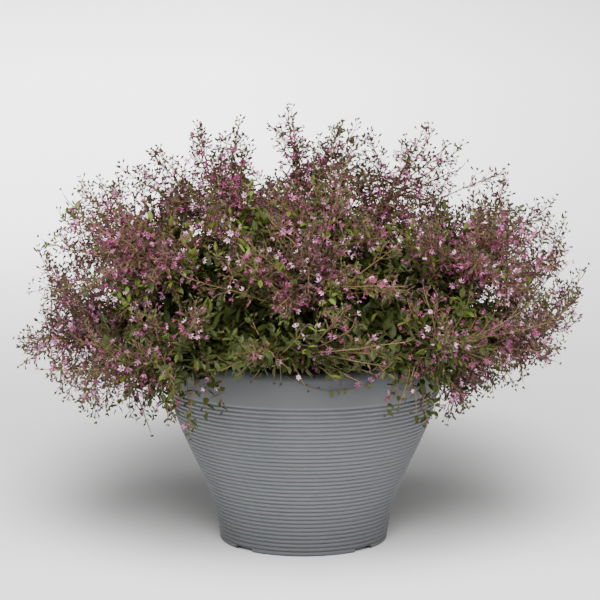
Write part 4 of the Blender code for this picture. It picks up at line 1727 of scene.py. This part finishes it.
class CUPHEA_OT_buds(bpy.types.Operator):
    """Set the closed buds on their stalks and the tufts at the tips"""

    bl_idname = "cuphea.buds"
    bl_label = "Buds"

    def execute(self, context):
        colours = context.scene.cuphea_plant
        tones = {"plum": colours.plum, "green": colours.green_bud}
        add_pieces("bud", "buds", bud_shape(), tones, BUD_ROUGHNESS, context)
        add_pieces("tip_bud", "tip_buds", tip_bud_shape(), tones, BUD_ROUGHNESS, context)
        return {"FINISHED"}


class CUPHEA_OT_blossoms(bpy.types.Operator):
    """Set the flower tubes and their petals"""

    bl_idname = "cuphea.blossoms"
    bl_label = "Blossoms"

    def execute(self, context):
        colours = context.scene.cuphea_plant
        tubes = {"plum": colours.plum, "wine": colours.wine}
        add_pieces("calyx", "calyces", calyx_shape(), tubes, BUD_ROUGHNESS, context)
        petals = {"pale": colours.petal_pale, "rosy": colours.petal_rosy,
                  "deep": colours.petal_deep}
        add_pieces("petal", "petals", petal_shape(), petals, PETAL_ROUGHNESS, context)
        return {"FINISHED"}


# Stage

CAMERA_PLACE = (-0.0041, -2.617, 0.664)
CAMERA_TURN = (math.radians(81.47), 0, 0)
CAMERA_LENS = 141.5
FLOOR_RADIUS = 2.4
SWEEP_RADIUS = 1.6
SWEEP_STEPS = 24
WALL_HEIGHT = 1.9
BACKDROP_SIDES = 128
BACKDROP_WIDER = 1.7
BACKDROP_LONGER = 1.9
PAPER_ROUGHNESS = 0.85
PAPER_SPECULAR = 0.2

# The lights' places and sizes, and where they look
OVER_LIGHT = (0, -1.15, 2.6)
FRONT_LIGHT = (0, -2.7, 2.1)
SIDE_LIGHT = (2.2, -0.6, 0.8)
LARGE_LIGHT = 1.7
SMALL_LIGHT = 1.2
LIT_PLACE = Vector((0, 0, 0.2))

# Painted light: between which distances from the pot the backdrop's own glow rises, and between
# which heights and places on X and Y it falls off
GLOW_REACH = (0.7, 3.2)
GLOW_TOP = (0.35, 0.95)
GLOW_RIGHT = (-0.2, 1.4)
GLOW_LEFT = (-1.6, -0.9)
GLOW_SIDE_SHARE = 0.2
GLOW_BEHIND = (-0.5, 1.5)
GLOW_FRONT_SHARE = 0.35

# The crown's painted shadow on the floor: its middle, its half widths, its even core and its depth
SHADE_PLACE = (0.0, 0.36)
SHADE_REACH = (0.43, 0.62)
SHADE_CORE = 0.35
SHADE_DEPTH = 0.34


def glow_strength(material, parts, glow):
    """The backdrop's glow: more away from the pot and behind it, and none above eye height."""
    nodes = material.node_tree.nodes
    links = material.node_tree.links
    flat = nodes.new("ShaderNodeCombineXYZ")
    far = nodes.new("ShaderNodeVectorMath")
    far.operation = "LENGTH"
    links.new(parts["X"], flat.inputs["X"])
    links.new(parts["Y"], flat.inputs["Y"])
    links.new(flat.outputs["Vector"], far.inputs[0])
    strength = ranged(material, far.outputs["Value"], *GLOW_REACH, 0.0, glow)
    shares = (ranged(material, parts["Z"], *GLOW_TOP, 1.0, 0.0),
              ranged(material, parts["X"], *GLOW_RIGHT, 1.0, GLOW_SIDE_SHARE),
              ranged(material, parts["X"], *GLOW_LEFT, GLOW_SIDE_SHARE, 1.0),
              ranged(material, parts["Y"], *GLOW_BEHIND, GLOW_FRONT_SHARE, 1.0))
    for share in shares:
        product = nodes.new("ShaderNodeMath")
        product.operation = "MULTIPLY"
        links.new(strength, product.inputs[0])
        links.new(share, product.inputs[1])
        strength = product.outputs["Value"]
    return strength


def painted_crown_shadow(material, place, colour):
    """The backdrop's colour with a painted shadow, darker in an oval on the floor under the crown.
    """
    nodes = material.node_tree.nodes
    links = material.node_tree.links
    about = nodes.new("ShaderNodeMapping")
    offset = [-middle / half for middle, half in zip(SHADE_PLACE, SHADE_REACH)]
    about.inputs["Location"].default_value = (*offset, 0)
    about.inputs["Scale"].default_value = (*[1 / half for half in SHADE_REACH], 0)
    near = nodes.new("ShaderNodeVectorMath")
    near.operation = "LENGTH"
    links.new(place, about.inputs["Vector"])
    links.new(about.outputs["Vector"], near.inputs[0])
    deep = ranged(material, near.outputs["Value"], SHADE_CORE, 1.0, 1.0, 0.0, "SMOOTHSTEP")
    return mix_by(material, deep, colour, shade(colour, SHADE_DEPTH))


def backdrop_material(colour, glow):
    """Pale paper that glows more away from the pot as painted light, with a painted shadow of the
    crown.
    """
    material, shader = principled("pale_paper", colour, PAPER_ROUGHNESS)
    shader.inputs["Specular IOR Level"].default_value = PAPER_SPECULAR
    shader.inputs["Emission Color"].default_value = (1, 1, 1, 1)
    place, parts = object_axes(material)
    links = material.node_tree.links
    # Painted light: the backdrop's own glow
    links.new(glow_strength(material, parts, glow), shader.inputs["Emission Strength"])
    # Painted shadow of the crown in the floor's colour
    links.new(painted_crown_shadow(material, place, colour), shader.inputs["Base Color"])
    return material


def make_backdrop(colour, glow):
    """A floor that sweeps up into a wall all round, farther off at the sides and in front."""
    profile = [(0, 0), (FLOOR_RADIUS / 2, 0), (FLOOR_RADIUS, 0)]
    for k in range(1, SWEEP_STEPS + 1):
        turn = math.pi / 2 * k / SWEEP_STEPS
        profile.append((FLOOR_RADIUS + SWEEP_RADIUS * math.sin(turn),
                        SWEEP_RADIUS * (1 - math.cos(turn))))
    profile.append((FLOOR_RADIUS + SWEEP_RADIUS, WALL_HEIGHT))
    floor = spun_object("backdrop", profile, BACKDROP_SIDES)
    for corner in floor.data.vertices:
        corner.co.x *= BACKDROP_WIDER
        if corner.co.y < 0:
            corner.co.y *= BACKDROP_LONGER
    floor.data.shade_smooth()
    floor.data.materials.append(backdrop_material(colour, glow))


def add_area_light(name, place, size, power):
    """A soft square light that looks at the plant."""
    deselect_all()
    bpy.ops.object.light_add(type="AREA", location=place)
    light = bpy.context.object
    light.name = name
    light.data.shape = "SQUARE"
    light.data.size = size
    light.data.energy = power
    look = LIT_PLACE - Vector(place)
    light.rotation_euler = look.to_track_quat("-Z", "Y").to_euler()


class CUPHEA_OT_stage(bpy.types.Operator):
    """Set the plain backdrop, the soft lights and the camera"""

    bl_idname = "cuphea.stage"
    bl_label = "Stage"

    def execute(self, context):
        stage = context.scene.cuphea_stage
        make_backdrop(stage.backdrop, stage.glow)
        add_area_light("over_light", OVER_LIGHT, LARGE_LIGHT, stage.over_power)
        add_area_light("front_light", FRONT_LIGHT, LARGE_LIGHT, stage.front_power)
        for name, side in (("left_light", -1), ("right_light", 1)):
            place = (SIDE_LIGHT[0] * side, *SIDE_LIGHT[1:])
            add_area_light(name, place, SMALL_LIGHT, stage.side_power)
        world = bpy.data.worlds.new("room")
        world.use_nodes = True
        light = world.node_tree.nodes["Background"]
        light.inputs["Color"].default_value = (1, 1, 1, 1)
        light.inputs["Strength"].default_value = stage.room_light
        context.scene.world = world
        bpy.ops.object.camera_add(location=CAMERA_PLACE, rotation=CAMERA_TURN)
        camera = bpy.context.object
        camera.data.lens = CAMERA_LENS
        context.scene.camera = camera
        return {"FINISHED"}


class CUPHEA_PT_sidebar(bpy.types.Panel):
    """Lists the steps that dress the plant"""

    bl_idname = "CUPHEA_PT_sidebar"
    bl_label = "Potted cuphea"
    bl_space_type = "VIEW_3D"
    bl_region_type = "UI"
    bl_category = "Cuphea"

    def draw(self, context):
        for step in STEPS:
            self.layout.operator(step.bl_idname)


STEPS = (CUPHEA_OT_pot, CUPHEA_OT_soil, CUPHEA_OT_limbs, CUPHEA_OT_twigs, CUPHEA_OT_leaves,
         CUPHEA_OT_buds, CUPHEA_OT_blossoms, CUPHEA_OT_stage)
SETTINGS = {"cuphea_pot": PotSettings, "cuphea_plant": PlantSettings,
            "cuphea_stage": StageSettings}
CLASSES = (*SETTINGS.values(), *STEPS, CUPHEA_PT_sidebar)


def register():
    """Register the classes and put the settings on the scene."""
    for each in CLASSES:
        bpy.utils.register_class(each)
    for name, settings in SETTINGS.items():
        setattr(bpy.types.Scene, name, PointerProperty(type=settings))


def unregister():
    """Take the settings and the classes away again."""
    for name in SETTINGS:
        delattr(bpy.types.Scene, name)
    for each in reversed(CLASSES):
        bpy.utils.unregister_class(each)


def main():
    """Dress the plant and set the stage."""
    register()
    bpy.ops.cuphea.pot()
    bpy.ops.cuphea.soil()
    bpy.ops.cuphea.limbs()
    bpy.ops.cuphea.twigs()
    bpy.ops.cuphea.leaves()
    bpy.ops.cuphea.buds()
    bpy.ops.cuphea.blossoms()
    bpy.ops.cuphea.stage()
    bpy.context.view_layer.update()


if __name__ == "__main__":
    main()
